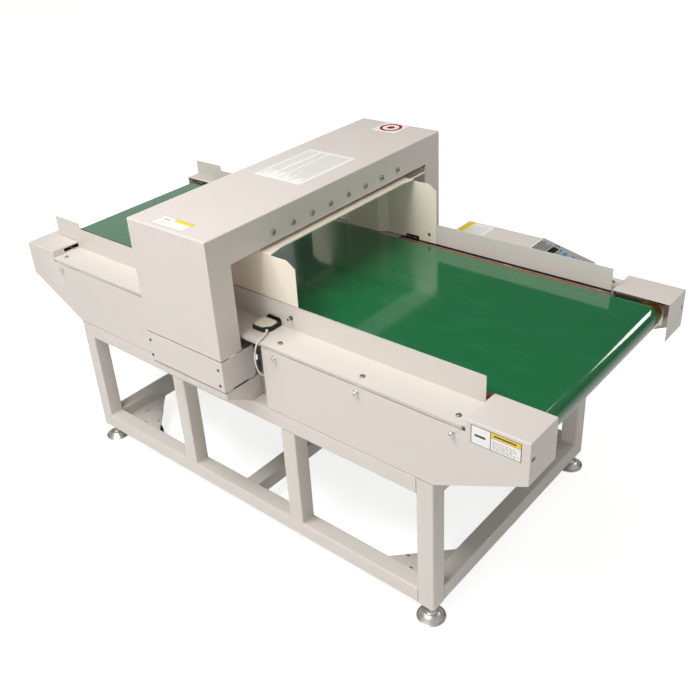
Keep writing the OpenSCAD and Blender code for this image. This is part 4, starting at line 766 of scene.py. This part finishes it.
class DETECTOR_OT_rollers(bpy.types.Operator):
    """Adds the end rollers and the return rollers"""
    bl_idname = "detector.rollers"
    bl_label = "Rollers"

    def execute(self, context):
        for node, x, near in (("drive_roller", -ROLLER_X, DRIVE_SHAFT_END),
                              ("tail_roller", ROLLER_X, SHAFT_END)):
            profile = roller_profile(ROLLER_R, DRUM_HALF, SHAFT_R, near, SHAFT_END)
            turned(node + "_drum", profile, at(x, BED_MIDDLE_Y, ROLLER_Z), (0, 1, 0), node, "gold",
                   [node], 96)
        profile = roller_profile(RETURN_R, RETURN_HALF, RETURN_SHAFT_R, RETURN_SHAFT_END,
                                 RETURN_SHAFT_END, wall=3, recess=3)
        for node, x in (("return_roller_left", -RETURN_X), ("return_roller_right", RETURN_X)):
            turned(node + "_drum", profile, at(x, BED_MIDDLE_Y, RETURN_Z), (0, 1, 0), node, "zinc",
                   [node], 56)
        return {"FINISHED"}


class DETECTOR_OT_bed(bpy.types.Operator):
    """Adds the conveyor bed: sides, cross bars, slider boards, bearing blocks and take-up screws"""
    bl_idname = "detector.bed"
    bl_label = "Conveyor bed"

    def execute(self, context):
        rounded("bed_sides", "zinc")
        rounded("bed_cross_bars", "zinc", edge=0.0004, steps=1, angle=40)
        rounded("slider_boards", "board", edge=0.0010, steps=3)
        rounded("bearing_blocks", "acetal", edge=0.0020, steps=3)
        rounded("takeup_screws", "black_steel", edge=0.0006)
        return {"FINISHED"}


# Drive

# Place of the motor's axis, and its sizes in millimetres
MOTOR_LOW_X, MOTOR_FACE_Y, MOTOR_LOW_Z, MOTOR_HIGH_X, _, MOTOR_HIGH_Z = box_of("gearmotor")
MOTOR_X = (MOTOR_LOW_X + MOTOR_HIGH_X) / 2
MOTOR_Z = (MOTOR_LOW_Z + MOTOR_HIGH_Z) / 2
GEARBOX_HALF = (MOTOR_HIGH_X - MOTOR_LOW_X) / 2
LEDGE_HALF = GEARBOX_HALF - 2
GEARBOX_CORNER = 7
FIN_COUNT = 28
FIN_FOOT_R = 33
FIN_TIP_R = 38
BOSS = [(8.08, 0), (22, 0), (24, 1), (24, 3.2), (8.08, 3.2), (8.08, 0)]
FLANGE = [(0, 69), (36, 69), (37.5, 70.5), (37.5, 74.5), (0, 74.5)]
COWL = [(0, 181), (36.4, 181), (37.2, 182), (36.4, 210), (33, 215.4), (30, 216), (26, 216), (26, 213),
        (22, 213), (22, 216), (18, 216), (18, 213), (14, 213), (14, 216), (0, 216)]


def motor_block(half):
    """Square outline with rounded corners about the motor's axis."""
    return rounded_outline(MOTOR_X - half, MOTOR_Z - half, MOTOR_X + half, MOTOR_Z + half, GEARBOX_CORNER)


def fin_outline():
    """Outline of the motor's finned barrel: each fin has a foot, two flanks and a tip."""
    corners = ((0.0, FIN_FOOT_R), (0.30, FIN_FOOT_R), (0.38, FIN_TIP_R), (0.62, FIN_TIP_R),
               (0.70, FIN_FOOT_R))
    points = []
    for k in range(FIN_COUNT):
        for share, radius in corners:
            turn = 2 * math.pi * (k + share) / FIN_COUNT
            points.append((MOTOR_X + radius * math.cos(turn), MOTOR_Z + radius * math.sin(turn)))
    return points


class DETECTOR_OT_drive(bpy.types.Operator):
    """Adds the gearmotor with its cooling fins, its bracket, the pulleys and the toothed belt"""
    bl_idname = "detector.drive"
    bl_label = "Drive"

    def execute(self, context):
        work = bmesh.new()
        # Gearbox, ledge and finned barrel, each from its distance behind the bracket and its depth
        for outline, start, depth in ((motor_block(GEARBOX_HALF), 3, 62), (motor_block(LEDGE_HALF), 65, 5),
                                      (fin_outline(), 74, 108)):
            prism(work, outline, lambda u, v, w: at(u, MOTOR_FACE_Y + start + w, v), depth)
        for profile, steps in ((BOSS, 48), (FLANGE, 64), (COWL, 64)):
            lathe(work, profile, at(MOTOR_X, MOTOR_FACE_Y, MOTOR_Z), (0, 1, 0), steps)
        motor = closed_piece("gearmotor_body", work, MAIN, "motor", ["gearmotor"], 35)
        soften(motor, 0.0008, degrees=40)
        rounded("motor_bracket", "coat", edge=0.0010)
        rounded("motor_pulley", "zinc")
        rounded("drive_pulley", "zinc")
        rounded("drive_belt", "rubber", edge=0.0004)
        return {"FINISHED"}


# Covers, guides and head

class DETECTOR_OT_covers(bpy.types.Operator):
    """Adds the painted side covers with their end caps"""
    bl_idname = "detector.covers"
    bl_label = "Side covers"

    def execute(self, context):
        for corner in FOOT_PLACES:
            folded("side_cover_" + corner, "coat")
        return {"FINISHED"}


# Distance of a guide's inner face from the bed's middle, and the box along and up of the painted shade strip, in
# millimetres
GUIDE_FACE = BED_MIDDLE_Y - box_of("guide_plate_near")[4]
SHADE_STRIP_BOX = (-790, 681, 790, 687.8)


class DETECTOR_OT_guides(bpy.types.Operator):
    """Adds the two folded guides with their decks, and black strips of painted shade at their feet"""
    bl_idname = "detector.guides"
    bl_label = "Guides"

    def execute(self, context):
        corner = context.scene.detector_sheet.guide_corner
        for side in ("near", "far"):
            folded("guide_plate_" + side, "coat", more_bend=0.0015, more_steps=1, corner=corner)
        # A black rubber strip along the foot of each guide is painted shade: it darkens the gap between the guide
        # and the board, where the shadow falls
        work = bmesh.new()
        for side in (-1, 1):
            plate(work, lambda u, v, w: at(u, BED_MIDDLE_Y + side * (GUIDE_FACE - w), v), SHADE_STRIP_BOX, 0,
                  0.05, 0.45)
        closed_piece("guide_gap_shade_strips", work, MAIN, "rubber")
        return {"FINISHED"}


class DETECTOR_OT_head(bpy.types.Operator):
    """Adds the detecting head: arch, lower covers, base brackets, posts, units and liner"""
    bl_idname = "detector.head"
    bl_label = "Detecting head"

    def execute(self, context):
        folded("head_shell", "coat", more_bend=0.001)
        folded("lower_covers", "coat")
        folded("base_brackets", "coat", sheet=0.004)
        rounded("base_beams", "coat", edge=0.0006)
        rounded("head_posts", "zinc", edge=0.0010)
        rounded("upper_detector", "aluminium", edge=0.0020, steps=3)
        rounded("lower_detector", "aluminium", edge=0.0020, steps=3)
        folded("tunnel_liner", "liner")
        return {"FINISHED"}


# Sensors

# Sizes of the photoelectric switches in millimetres, and their places from the stand's middle
EYE_LOW_X, _, DECK_Z, EYE_HIGH_X, EYE_FRONT_Y, _ = box_of("photo_receiver")
EYE_X = (EYE_LOW_X + EYE_HIGH_X) / 2
EYE_HALF = (EYE_HIGH_X - EYE_LOW_X) / 2
EYE_DEPTH = 58
EYE_CUT = 17
EYE_BACK = EYE_FRONT_Y - BED_MIDDLE_Y - EYE_DEPTH
EYE_CAP_BACK = EYE_BACK + 9.2
# The lead's way: out of the sleeve, over the deck's edge, down, and into the bed side's hole
LEAD_ROUTE = ((143.5, -367.5, 687.0), (147, -372, 687), (153, -386, 686), (157, -402, 686.5),
              (159, -418, 681.5), (156, -425, 669), (152, -426, 652), (149, -426, 632), (148, -424, 612),
              (149, -421, 596), (151, -417, 584), (152, -410, 575), (156, -400, 569), (164, -388, 567),
              (174, -376, 569), (186, -364, 575), (198, -354, 585), (208, -346, 594), (214, -338, 599),
              (215, -331, 600), (215, -322, 600))
SLEEVE_START = (141.5, -365.0, 687.0)
HOLE_X = 215
HOLE_Z = 600
BED_SIDE_FACE = 334


def eye_outline(side, shrink):
    """Outline of a photoelectric switch with one cut corner, as (x, y) in millimetres."""
    back = BED_MIDDLE_Y + side * EYE_BACK
    front = back + side * EYE_DEPTH
    low, high, cut = EYE_X - EYE_HALF + shrink, EYE_X + EYE_HALF - shrink, EYE_CUT + shrink * 0.4
    points = [(low, back + side * shrink), (high, back + side * shrink), (high, front - side * cut),
              (EYE_X + EYE_HALF - cut, front - side * shrink), (low, front - side * shrink)]
    return points if side > 0 else points[::-1]


def eye_cap_outline(side, shrink, notch):
    """Outline of the switch's cap: as the body's, with a notch over each of its two fixing screws."""
    back = BED_MIDDLE_Y + side * (EYE_CAP_BACK + shrink)
    front = BED_MIDDLE_Y + side * (EYE_BACK + EYE_DEPTH - shrink)
    low, high, cut = EYE_X - EYE_HALF + shrink, EYE_X + EYE_HALF - shrink, EYE_CUT + shrink * 0.4
    points = [(low, back), (high - notch, back), (high - notch, back + side * notch),
              (high, back + side * notch), (high, front - side * cut), (high - cut, front),
              (low + notch, front), (low + notch, front - side * notch), (low, front - side * notch)]
    return points if side > 0 else points[::-1]


# Half sections of the switch's small turned parts: screw head, lens, signal lamp, sleeve and grommet
EYE_SCREW = [(0, 14.9), (0.9, 14.9), (1.0, 15.3), (2.0, 15.3), (2.3, 15.0), (2.3, 13.8), (0, 13.8)]
EYE_LENS = [(0, -5.0), (1.2, -4.9), (2.1, -4.5), (2.5, -3.9), (2.5, 0.4), (0, 0.4)]
EYE_LAMP = [(0, 18.0), (1.0, 17.8), (1.5, 17.2), (1.6, 16.4), (0, 16.4)]
SLEEVE = [(2.4, 0), (3.6, 0), (3.6, 5), (3.2, 9), (2.6, 13), (2.35, 13), (2.35, 0), (2.4, 0)]
GROMMET = [(2.5, -2.6), (4.6, -2.6), (5.6, -2.0), (5.8, -0.4), (5.8, 0.02), (2.5, 0.02), (2.5, -2.6)]


class DETECTOR_OT_sensors(bpy.types.Operator):
    """Adds the photoelectric switches on the decks and the near one's lead"""
    bl_idname = "detector.sensors"
    bl_label = "Photoelectric switches"

    def execute(self, context):
        for label, side, node in (("near", -1, "photo_emitter"), ("far", 1, "photo_receiver")):
            face_y = BED_MIDDLE_Y + side * EYE_BACK

            def out_of_face(u, v, w):
                """A place in front of the switch's face: along it, up from the deck, and out of it."""
                return at(u, face_y - side * w, DECK_Z + v)

            work = bmesh.new()
            # Lower half, a narrow joint and the upper half: heights over the deck
            for low, height, shrink in ((0, 6.0, 0), (5.5, 2.0, 0.9), (7.2, 6.8, 0)):
                prism(work, eye_outline(side, shrink), lambda u, v, w: at(u, v, DECK_Z + low + w), height)
            prism(work, rounded_outline(EYE_X - 24, 1, EYE_X + 24, 19, 1.0), out_of_face, 4)
            body = closed_piece("switch_body_" + label, work, MAIN, "abs_black", [node])
            soften(body, 0.0010, 3)
            work = bmesh.new()
            prism(work, eye_cap_outline(side, 1.5, 6), lambda u, v, w: at(u, v, DECK_Z + 13.8 + w), 3.2)
            cap = closed_piece("switch_cap_" + label, work, MAIN, "abs_cream")
            soften(cap, 0.0010, 3)
            for x, y in ((EYE_X - 22.5, 373.5), (EYE_X + 22.5, 334)):
                turned("switch_screw_%s_%d" % (label, x), EYE_SCREW, at(x, BED_MIDDLE_Y + side * y, DECK_Z),
                       (0, 0, 1), MAIN, "zinc", steps=24)
            work = bmesh.new()
            for box in ((EYE_X - 17, 9, EYE_X - 4, 13.5), (EYE_X + 4, 9, EYE_X + 19, 13.5),
                        (EYE_X - 23.5, 11, EYE_X - 17.5, 18.5)):
                plate(work, out_of_face, box, 0.6, 3.9, 4.6)
            closed_piece("switch_plate_" + label, work, MAIN, "aluminium")
            turned("switch_lens_" + label, EYE_LENS, at(EYE_X, face_y, DECK_Z + 13.6), (0, side, 0), MAIN,
                   "lens", steps=32)
            turned("switch_lamp_" + label, EYE_LAMP, at(EYE_X - 15, face_y + side * 12, DECK_Z), (0, 0, 1),
                   MAIN, "lens", steps=24)
        route = bpy.data.curves.new("emitter_lead", "CURVE")
        route.dimensions = "3D"
        route.bevel_depth = context.scene.detector_lead.width / 2
        route.bevel_resolution = 6
        route.use_fill_caps = True
        line = route.splines.new("BEZIER")
        line.bezier_points.add(len(LEAD_ROUTE) - 1)
        for point, spot in zip(line.bezier_points, LEAD_ROUTE):
            point.co = at(*spot)
            point.handle_left_type = point.handle_right_type = "AUTO"
        lead = bpy.data.objects.new("emitter_lead", route)
        context.scene.collection.objects.link(lead)
        route.materials.append(FINISH["pvc_lead"])
        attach(lead, MAIN)
        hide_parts("sensor_lead")
        turned("lead_sleeve", SLEEVE, at(*SLEEVE_START), (6, -7, 0), MAIN, "pvc_lead", steps=32)
        turned("lead_grommet", GROMMET, at(HOLE_X, BED_MIDDLE_Y - BED_SIDE_FACE, HOLE_Z), (0, 1, 0), MAIN,
               "abs_black", steps=40)
        return {"FINISHED"}


# Control box

# Sizes of the box and its slope in millimetres, and the slope's start from the stand's middle
_, BOX_LOW_Y, _, BOX_END_X, BOX_HIGH_Y, BOX_TOP = box_of("control_box")
BOX_BACK_Y = BOX_LOW_Y + 4
BOX_W = BOX_HIGH_Y - BOX_BACK_Y
SLOPE_X = box_of("control_panel")[0]
SLOPE_RUN = BOX_END_X - SLOPE_X
SLOPE_DROP = 41
SLOPE = math.atan2(SLOPE_DROP, SLOPE_RUN)
SLOPE_LENGTH = SLOPE_RUN / math.cos(SLOPE)
# Low and high faces over the slope
FILM = (2.95, 3.15)
PRINT = (3.10, 3.27)
SCREEN = (2.05, 2.7)
KEY_COLLAR = (-1.3, -0.3)
KEY_CAP = (-0.4, 7)
KEY_HALF = 8
COLLAR_HALF = 5.15
CAP_HALF = 3.6


def on_panel(along, across, lift):
    """A place on the sloping panel in millimetres: down the slope, across it, and out of it."""
    return at(SLOPE_X + along * math.cos(SLOPE) + lift * math.sin(SLOPE), BOX_BACK_Y + across,
              BOX_TOP - along * math.sin(SLOPE) + lift * math.cos(SLOPE))


def dashes(rng, u0, u1, v0, v1, rows, fill, longest):
    """Rows of short bars of random length that stand for lines of print, as boxes of shares."""
    boxes = []
    step = (u1 - u0) / rows
    for row in range(rows):
        along = v0
        end = v1 - rng.uniform(0, 0.25) * (v1 - v0)
        while along < end:
            bar = min(rng.uniform(0.3, 1.0) * longest, end - along)
            boxes.append((u0 + row * step, along, u0 + (row + fill) * step, along + bar))
            along += bar + longest * 0.22
    return boxes


def of_size(box, length, width):
    """A box of shares as a box in millimetres."""
    u0, v0, u1, v1 = box
    return (u0 * length, v0 * width, u1 * length, v1 * width)


def plate(work, place, box, radius, low, high, material=0):
    """Adds a thin plate between two heights, with rounded corners unless the radius is zero."""
    u0, v0, u1, v1 = box
    outline = rounded_outline(*box, radius) if radius else [(u1, v1), (u0, v1), (u0, v0), (u1, v0)]
    prism(work, outline, lambda u, v, w: place(u, v, low + w), high - low, material)


# Middles of the keys, as shares of the panel's length and width
KEY_SHARES = {"start_key": (0.52, 0.34), "stop_key": (0.66, 0.34), "reset_key": (0.52, 0.66),
              "test_key": (0.66, 0.66)}
# Bars on the panel: ends along and across as shares, then rows, their fill and the longest bar
PRINT_FIELDS = ((0.05, 0.255, 0.07, 0.93, 5, 0.55, 0.07), (0.28, 0.38, 0.85, 0.95, 2, 0.5, 0.05),
                (0.41, 0.445, 0.10, 0.90, 1, 0.6, 0.06), (0.575, 0.60, 0.25, 0.75, 1, 0.6, 0.05),
                (0.74, 0.93, 0.10, 0.90, 5, 0.45, 0.09))


class DETECTOR_OT_control_box(bpy.types.Operator):
    """Adds the control box, its sloping panel, display, keys, power switch and mains socket"""
    bl_idname = "detector.control_box"
    bl_label = "Control box"

    def execute(self, context):
        folded("control_box", "coat")
        rounded("control_panel", "film", edge=0.0006)
        length, width = SLOPE_LENGTH, BOX_W
        work = bmesh.new()
        for box in ((1, 1, 5.5, width - 1), (length - 5, 1, length - 1, width - 1),
                    (5.5, 1, length - 5, 3.5), (5.5, width - 3.5, length - 5, width - 1)):
            plate(work, on_panel, box, 0.4, *FILM, 0)
        # The film covers the display's frame and leaves its window free
        for box in ((0.11, 0.18, 0.27, 0.82), (0.27, 0.18, 0.39, 0.42)):
            plate(work, on_panel, of_size(box, length, width), 1, *FILM, 1)
        rng = random.Random(5)
        for field in PRINT_FIELDS:
            for box in dashes(rng, *field):
                plate(work, on_panel, of_size(box, length, width), 0, *PRINT, 2)
        closed_piece("panel_fields", work, MAIN, ("film_white", "film", "film_dark"))
        work = bmesh.new()
        box = (length * 0.12 + 0.4, width * 0.2 + 0.4, length * 0.38 - 0.4, width * 0.8 - 0.4)
        plate(work, on_panel, box, 1.2, *SCREEN)
        screen = closed_piece("display_screen", work, MAIN, "display")
        soften(screen, 0.0003)
        for node, (u_share, v_share) in KEY_SHARES.items():
            u, v = length * u_share, width * v_share
            work = bmesh.new()
            for half, radius, levels in ((COLLAR_HALF, 1.0, KEY_COLLAR), (CAP_HALF, 1.2, KEY_CAP)):
                plate(work, on_panel, (u - half, v - KEY_HALF, u + half, v + KEY_HALF), radius, *levels)
            finish = "key_red" if node == "stop_key" else "key_blue"
            key = closed_piece(node + "_cap", work, node, finish, [node])
            soften(key, 0.0009, 3)
        rounded("power_rocker", "abs_black", edge=0.0008)
        rounded("mains_inlet", "abs_black", edge=0.0006)
        return {"FINISHED"}


# Screws and bare cards

def screw_seats(node):
    """Seat, outward direction and head radius in millimetres of each screw of a node that has a head."""
    work = bmesh.new()
    work.from_mesh(frame["nodes"][node].data)
    work.transform(frame["nodes"][node].matrix_world)
    waiting = set(work.verts)
    seats = []
    while waiting:
        island = [waiting.pop()]
        for vert in island:
            near = [edge.other_vert(vert) for edge in vert.link_edges]
            island += [other for other in near if other in waiting]
            waiting.difference_update(near)
        low = Vector([min(vert.co[k] for vert in island) for k in range(3)])
        high = Vector([max(vert.co[k] for vert in island) for k in range(3)])
        middle = (low + high) / 2
        size = high - low
        way = min(range(3), key=lambda k: abs(size[(k + 1) % 3] - size[(k + 2) % 3]))
        radius = max(size[(way + 1) % 3], size[(way + 2) % 3]) / 2
        rim = [vert.co[way] for vert in island
               if math.dist([vert.co[(way + k) % 3] for k in (1, 2)], [middle[(way + k) % 3] for k in (1, 2)])
               > radius * 0.97]
        if max(rim) - min(rim) > size[way] * 0.5:
            continue
        sign = 1 if max(rim) > middle[way] else -1
        middle[way] = min(rim) if sign > 0 else max(rim)
        seats.append((middle, [sign if k == way else 0 for k in range(3)], radius / MM))
    work.free()
    return seats


class DETECTOR_OT_screws(bpy.types.Operator):
    """Adds the cap screws and button screws, with a black ring of painted shade round each button screw's head"""
    bl_idname = "detector.screws"
    bl_label = "Screws"

    def execute(self, context):
        rounded("cap_screws", "zinc", edge=0.0004)
        rounded("button_screws", "zinc", edge=0.0003)
        work = bmesh.new()
        # Each button screw sits on a thin black ring that reaches a millimetre past its head: painted shade, the
        # dark rim of the head's contact shadow
        for middle, axis, radius in screw_seats("button_screws"):
            ring = [(radius * 0.6, 0.05), (radius + 0.9, 0.05), (radius + 1.0, 0.2), (radius + 0.9, 0.45),
                    (radius * 0.6, 0.45), (radius * 0.6, 0.05)]
            lathe(work, ring, middle, axis, 32)
        closed_piece("screw_shade_rings", work, MAIN, "black_steel")
        return {"FINISHED"}


CARD_COLOURS = ("card_white", "card_yellow", "card_grey", "card_dark")
WHITE, YELLOW, GREY, DARK = range(len(CARD_COLOURS))
# Faces that carry the cards, and the middle of the far card's sign, from the stand's middle
HEAD_TOP = box_of("head_shell")[-1]
COVER_FACE_Y = box_of("side_cover_near_right")[1]
SIGN_MIDDLE = (-53.5, 456, HEAD_TOP)


def card(name, place, size, bands, base=WHITE):
    """A thin card with bare coloured bands: bands are (box as shares, colour, height)."""
    work = bmesh.new()
    plate(work, place, (0, 0, *size), 1.5, -0.05, 0.20, base)
    for shares, tint, lift in bands:
        box = of_size(shares, *size)
        # Narrow bars keep square corners
        radius = 0 if min(box[2] - box[0], box[3] - box[1]) < 4 else 0.8
        plate(work, place, box, radius, 0.1, lift, tint)
    closed_piece(name, work, MAIN, CARD_COLOURS)


def print_bars(boxes, turned_over=False):
    """Bands from rows of bars; turned over, the rows run along the card's first side."""
    if turned_over:
        boxes = [(v0, u0, v1, u1) for u0, v0, u1, v1 in boxes]
    return [(box, GREY, 0.30) for box in boxes]


class DETECTOR_OT_cards(bpy.types.Operator):
    """Adds the plain cards on the cover, the head and the control box"""
    bl_idname = "detector.cards"
    bl_label = "Plain cards"

    def execute(self, context):
        rng = random.Random(7)
        card("card_end_cover", lambda u, v, w: at(799 + u, COVER_FACE_Y - w, 643.5 + v), (123, 49),
             [((0.015, 0.03, 0.39, 0.97), WHITE, 0.24), ((0.405, 0.71, 0.985, 0.97), YELLOW, 0.24),
              ((0.405, 0.03, 0.985, 0.69), WHITE, 0.24), ((0.08, 0.44, 0.30, 0.56), DARK, 0.3),
              ((0.46, 0.79, 0.90, 0.88), DARK, 0.3)] +
             print_bars(dashes(rng, 0.10, 0.60, 0.44, 0.95, 6, 0.42, 0.09), True), DARK)
        card("card_head_near", lambda u, v, w: at(-120 + u, -486 + v, HEAD_TOP + w), (120, 49),
             [((0.012, 0.03, 0.988, 0.97), WHITE, 0.24), ((0.42, 0.70, 0.988, 0.97), YELLOW, 0.28),
              ((0.12, 0.62, 0.32, 0.74), GREY, 0.3)] +
             print_bars(dashes(rng, 0.16, 0.52, 0.10, 0.36, 2, 0.25, 0.08), True), GREY)
        card("card_head_middle", lambda u, v, w: at(-140 + u, 162 - v, HEAD_TOP + w), (177, 249),
             print_bars(dashes(rng, 0.06, 0.26, 0.05, 0.97, 4, 0.38, 0.050)) +
             print_bars(dashes(rng, 0.31, 0.46, 0.05, 0.97, 4, 0.38, 0.040)) +
             print_bars(dashes(rng, 0.50, 0.95, 0.05, 0.97, 11, 0.38, 0.035)))
        card("card_head_far", lambda u, v, w: at(-98.5 + u, 410.5 + v, HEAD_TOP + w), (90, 91), [])
        work = bmesh.new()
        ring = [(27, 0.1), (36.5, 0.1), (36.5, 0.32), (27, 0.32), (27, 0.1)]
        dot = [(0, 0.1), (13, 0.1), (13, 0.32), (0, 0.32)]
        lathe(work, ring, at(*SIGN_MIDDLE), (0, 0, 1), 64)
        lathe(work, dot, at(*SIGN_MIDDLE), (0, 0, 1), 48)
        closed_piece("card_ring", work, MAIN, "card_red")
        card("card_control_box", lambda u, v, w: at(206 + u, 424 + v, BOX_TOP + w), (94, 98),
             [((0.02, 0.02, 0.24, 0.98), YELLOW, 0.26)] +
             print_bars(dashes(rng, 0.30, 0.92, 0.08, 0.92, 9, 0.25, 0.10)))
        return {"FINISHED"}


# Stage

def lamp(name, place, target, size, watts, tint):
    """A soft box that shines at the target."""
    light = bpy.data.lights.new(name, "AREA")
    light.shape = "RECTANGLE"
    light.size, light.size_y = size
    light.energy = watts
    light.color = tint
    made = bpy.data.objects.new(name, light)
    made.location = place
    made.rotation_mode = "QUATERNION"
    made.rotation_quaternion = (Vector(target) - Vector(place)).to_track_quat("-Z", "Y")
    bpy.context.scene.collection.objects.link(made)


def floor_finish():
    """Matt white paper: white to the camera, paler in reflections, and it keeps the object's soft shadow."""
    material = bpy.data.materials.new("white_paper_floor")
    material.use_nodes = True
    tree = material.node_tree
    tree.nodes.clear()
    path = add(tree, "ShaderNodeLightPath")
    mirrored = add(tree, "ShaderNodeMath", {1: 0.25}, {0: (path, "Is Glossy Ray")}, operation="MULTIPLY")
    seen = add(tree, "ShaderNodeMath", links={0: (path, "Is Camera Ray"), 1: (mirrored, "Value")},
               operation="MAXIMUM")
    shown = add(tree, "ShaderNodeMath", links={0: (seen, "Value"), 1: (path, "Is Transmission Ray")},
                operation="MAXIMUM")
    glow = add(tree, "ShaderNodeEmission", {"Color": (1, 1, 1, 1), "Strength": 0.72})
    fibres = add(tree, "ShaderNodeTexNoise", {"Scale": 400.0})
    tint = add(tree, "ShaderNodeMix", {MIX_A: (0.79, 0.79, 0.785, 1), MIX_B: (0.81, 0.81, 0.805, 1)},
               {MIX_SHARE: (fibres, "Fac")}, data_type="RGBA")
    paper = add(tree, "ShaderNodeBsdfDiffuse", links={"Color": (tint, MIX_RESULT)})
    both = add(tree, "ShaderNodeAddShader", links={0: (glow, 0), 1: (paper, 0)})
    pick = add(tree, "ShaderNodeMixShader", links={0: (shown, "Value"), 1: (paper, 0), 2: (both, 0)})
    add(tree, "ShaderNodeOutputMaterial", links={"Surface": (pick, 0)})
    return material


class DETECTOR_OT_stage(bpy.types.Operator):
    """Adds the pale floor, the studio lamps, the world and the camera"""
    bl_idname = "detector.stage"
    bl_label = "Stage and camera"

    def execute(self, context):
        scene = context.scene
        work = bmesh.new()
        bmesh.ops.create_circle(work, cap_ends=True, segments=96, radius=40)
        mesh = bpy.data.meshes.new("paper_floor")
        work.to_mesh(mesh)
        work.free()
        floor = bpy.data.objects.new("paper_floor", mesh)
        mesh.materials.append(floor_finish())
        scene.collection.objects.link(floor)

        lamp("key_box", (-0.3, -1.75, 3.7), (0, 0, 0.7), (2.0, 1.6), 108, (1.0, 0.995, 0.985))
        lamp("front_box", (1.2, -5.2, 0.7), (0, 0, 0.3), (3.6, 1.4), 26, (1.0, 0.99, 0.99))
        lamp("side_box", (4.2, 0.2, 1.8), (0, 0, 0.5), (1.6, 1.6), 1, (1.0, 0.98, 0.95))
        lamp("streak_box", (1.85, 2.4, 1.85), (0.9, 0.3, 0.7), (0.6, 0.5), 8, (1.0, 1.0, 1.0))
        lamp("fold_box", (2.1, 2.6, 3.4), (0, 0, 0.9), (0.5, 0.5), 3, (1.0, 1.0, 1.0))
        lamp("left_box", (-3.0, 1.7, 1.8), (-0.7, 0, 0.7), (1.7, 1.3), 3.4, (1.0, 1.0, 1.0))

        world = bpy.data.worlds.new("studio")
        scene.world = world
        world.use_nodes = True
        tree = world.node_tree
        tree.nodes.clear()
        path = add(tree, "ShaderNodeLightPath")
        # The studio is bright in front of the machine and dim behind it, where the belt mirrors it
        way = add(tree, "ShaderNodeTexCoord")
        facing = add(tree, "ShaderNodeVectorMath", {1: (0.45, -0.74, 0.50)}, {0: (way, "Generated")},
                     operation="DOT_PRODUCT")
        spread = {"From Min": -0.35, "From Max": 0.35, "To Min": 0.08, "To Max": 0.44}
        light = add(tree, "ShaderNodeMapRange", spread, {"Value": (facing, "Value")})
        dim = add(tree, "ShaderNodeBackground", {"Color": (1.0, 0.985, 0.965, 1)},
                  {"Strength": (light, "Result")})
        white = add(tree, "ShaderNodeBackground", {"Color": (1, 1, 1, 1), "Strength": 1.0})
        pick = add(tree, "ShaderNodeMixShader", links={0: (path, "Is Camera Ray"), 1: (dim, 0),
                                                       2: (white, 0)})
        add(tree, "ShaderNodeOutputWorld", links={"Surface": (pick, 0)})

        settings = scene.detector_camera
        forward = Vector((-math.sin(settings.turn) * math.cos(settings.tilt),
                          math.cos(settings.turn) * math.cos(settings.tilt), -math.sin(settings.tilt)))
        right = forward.cross(Vector((0, 0, 1))).normalized()
        up = right.cross(forward)
        side = right * math.cos(settings.roll) + up * math.sin(settings.roll)
        top = up * math.cos(settings.roll) - right * math.sin(settings.roll)
        data = bpy.data.cameras.new("photo_camera")
        data.sensor_width = 36
        data.lens = settings.lens
        data.shift_x, data.shift_y = settings.shift
        data.clip_start, data.clip_end = 0.05, 200
        camera = bpy.data.objects.new("photo_camera", data)
        scene.collection.objects.link(camera)
        turn = Matrix((side, top, -forward)).transposed().to_4x4()
        camera.matrix_world = Matrix.Translation(Vector(settings.place)) @ turn
        scene.camera = camera
        scene.view_settings.view_transform = "Standard"
        return {"FINISHED"}


class DETECTOR_PT_panel(bpy.types.Panel):
    bl_idname = "DETECTOR_PT_panel"
    bl_label = "Needle detector"
    bl_space_type = "VIEW_3D"
    bl_region_type = "UI"
    bl_category = "Detector"

    def draw(self, context):
        scene = context.scene
        for group in SETTINGS:
            box = self.layout.box()
            for key in SETTINGS[group].__annotations__:
                box.prop(getattr(scene, group), key)
        for step in STEPS:
            self.layout.operator(step.bl_idname)


SETTINGS = {"detector_camera": CameraSettings, "detector_sheet": SheetSettings,
            "detector_colours": ColourSettings, "detector_belt": BeltSettings, "detector_lead": LeadSettings}
STEPS = (DETECTOR_OT_stage, DETECTOR_OT_finishes, DETECTOR_OT_stand, DETECTOR_OT_feet, DETECTOR_OT_casters,
         DETECTOR_OT_bed, DETECTOR_OT_belt, DETECTOR_OT_rollers, DETECTOR_OT_drive, DETECTOR_OT_covers,
         DETECTOR_OT_guides, DETECTOR_OT_head, DETECTOR_OT_sensors, DETECTOR_OT_control_box,
         DETECTOR_OT_screws, DETECTOR_OT_cards)


def register():
    for kind in (*SETTINGS.values(), *STEPS, DETECTOR_PT_panel):
        bpy.utils.register_class(kind)
    for group, kind in SETTINGS.items():
        setattr(bpy.types.Scene, group, PointerProperty(type=kind))


def unregister():
    for group in SETTINGS:
        delattr(bpy.types.Scene, group)
    for kind in (DETECTOR_PT_panel, *reversed(STEPS), *reversed(SETTINGS.values())):
        bpy.utils.unregister_class(kind)


def main():
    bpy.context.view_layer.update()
    register()
    for step in STEPS:
        group, name = step.bl_idname.split(".")
        getattr(getattr(bpy.ops, group), name)()


if __name__ == "__main__":
    main()
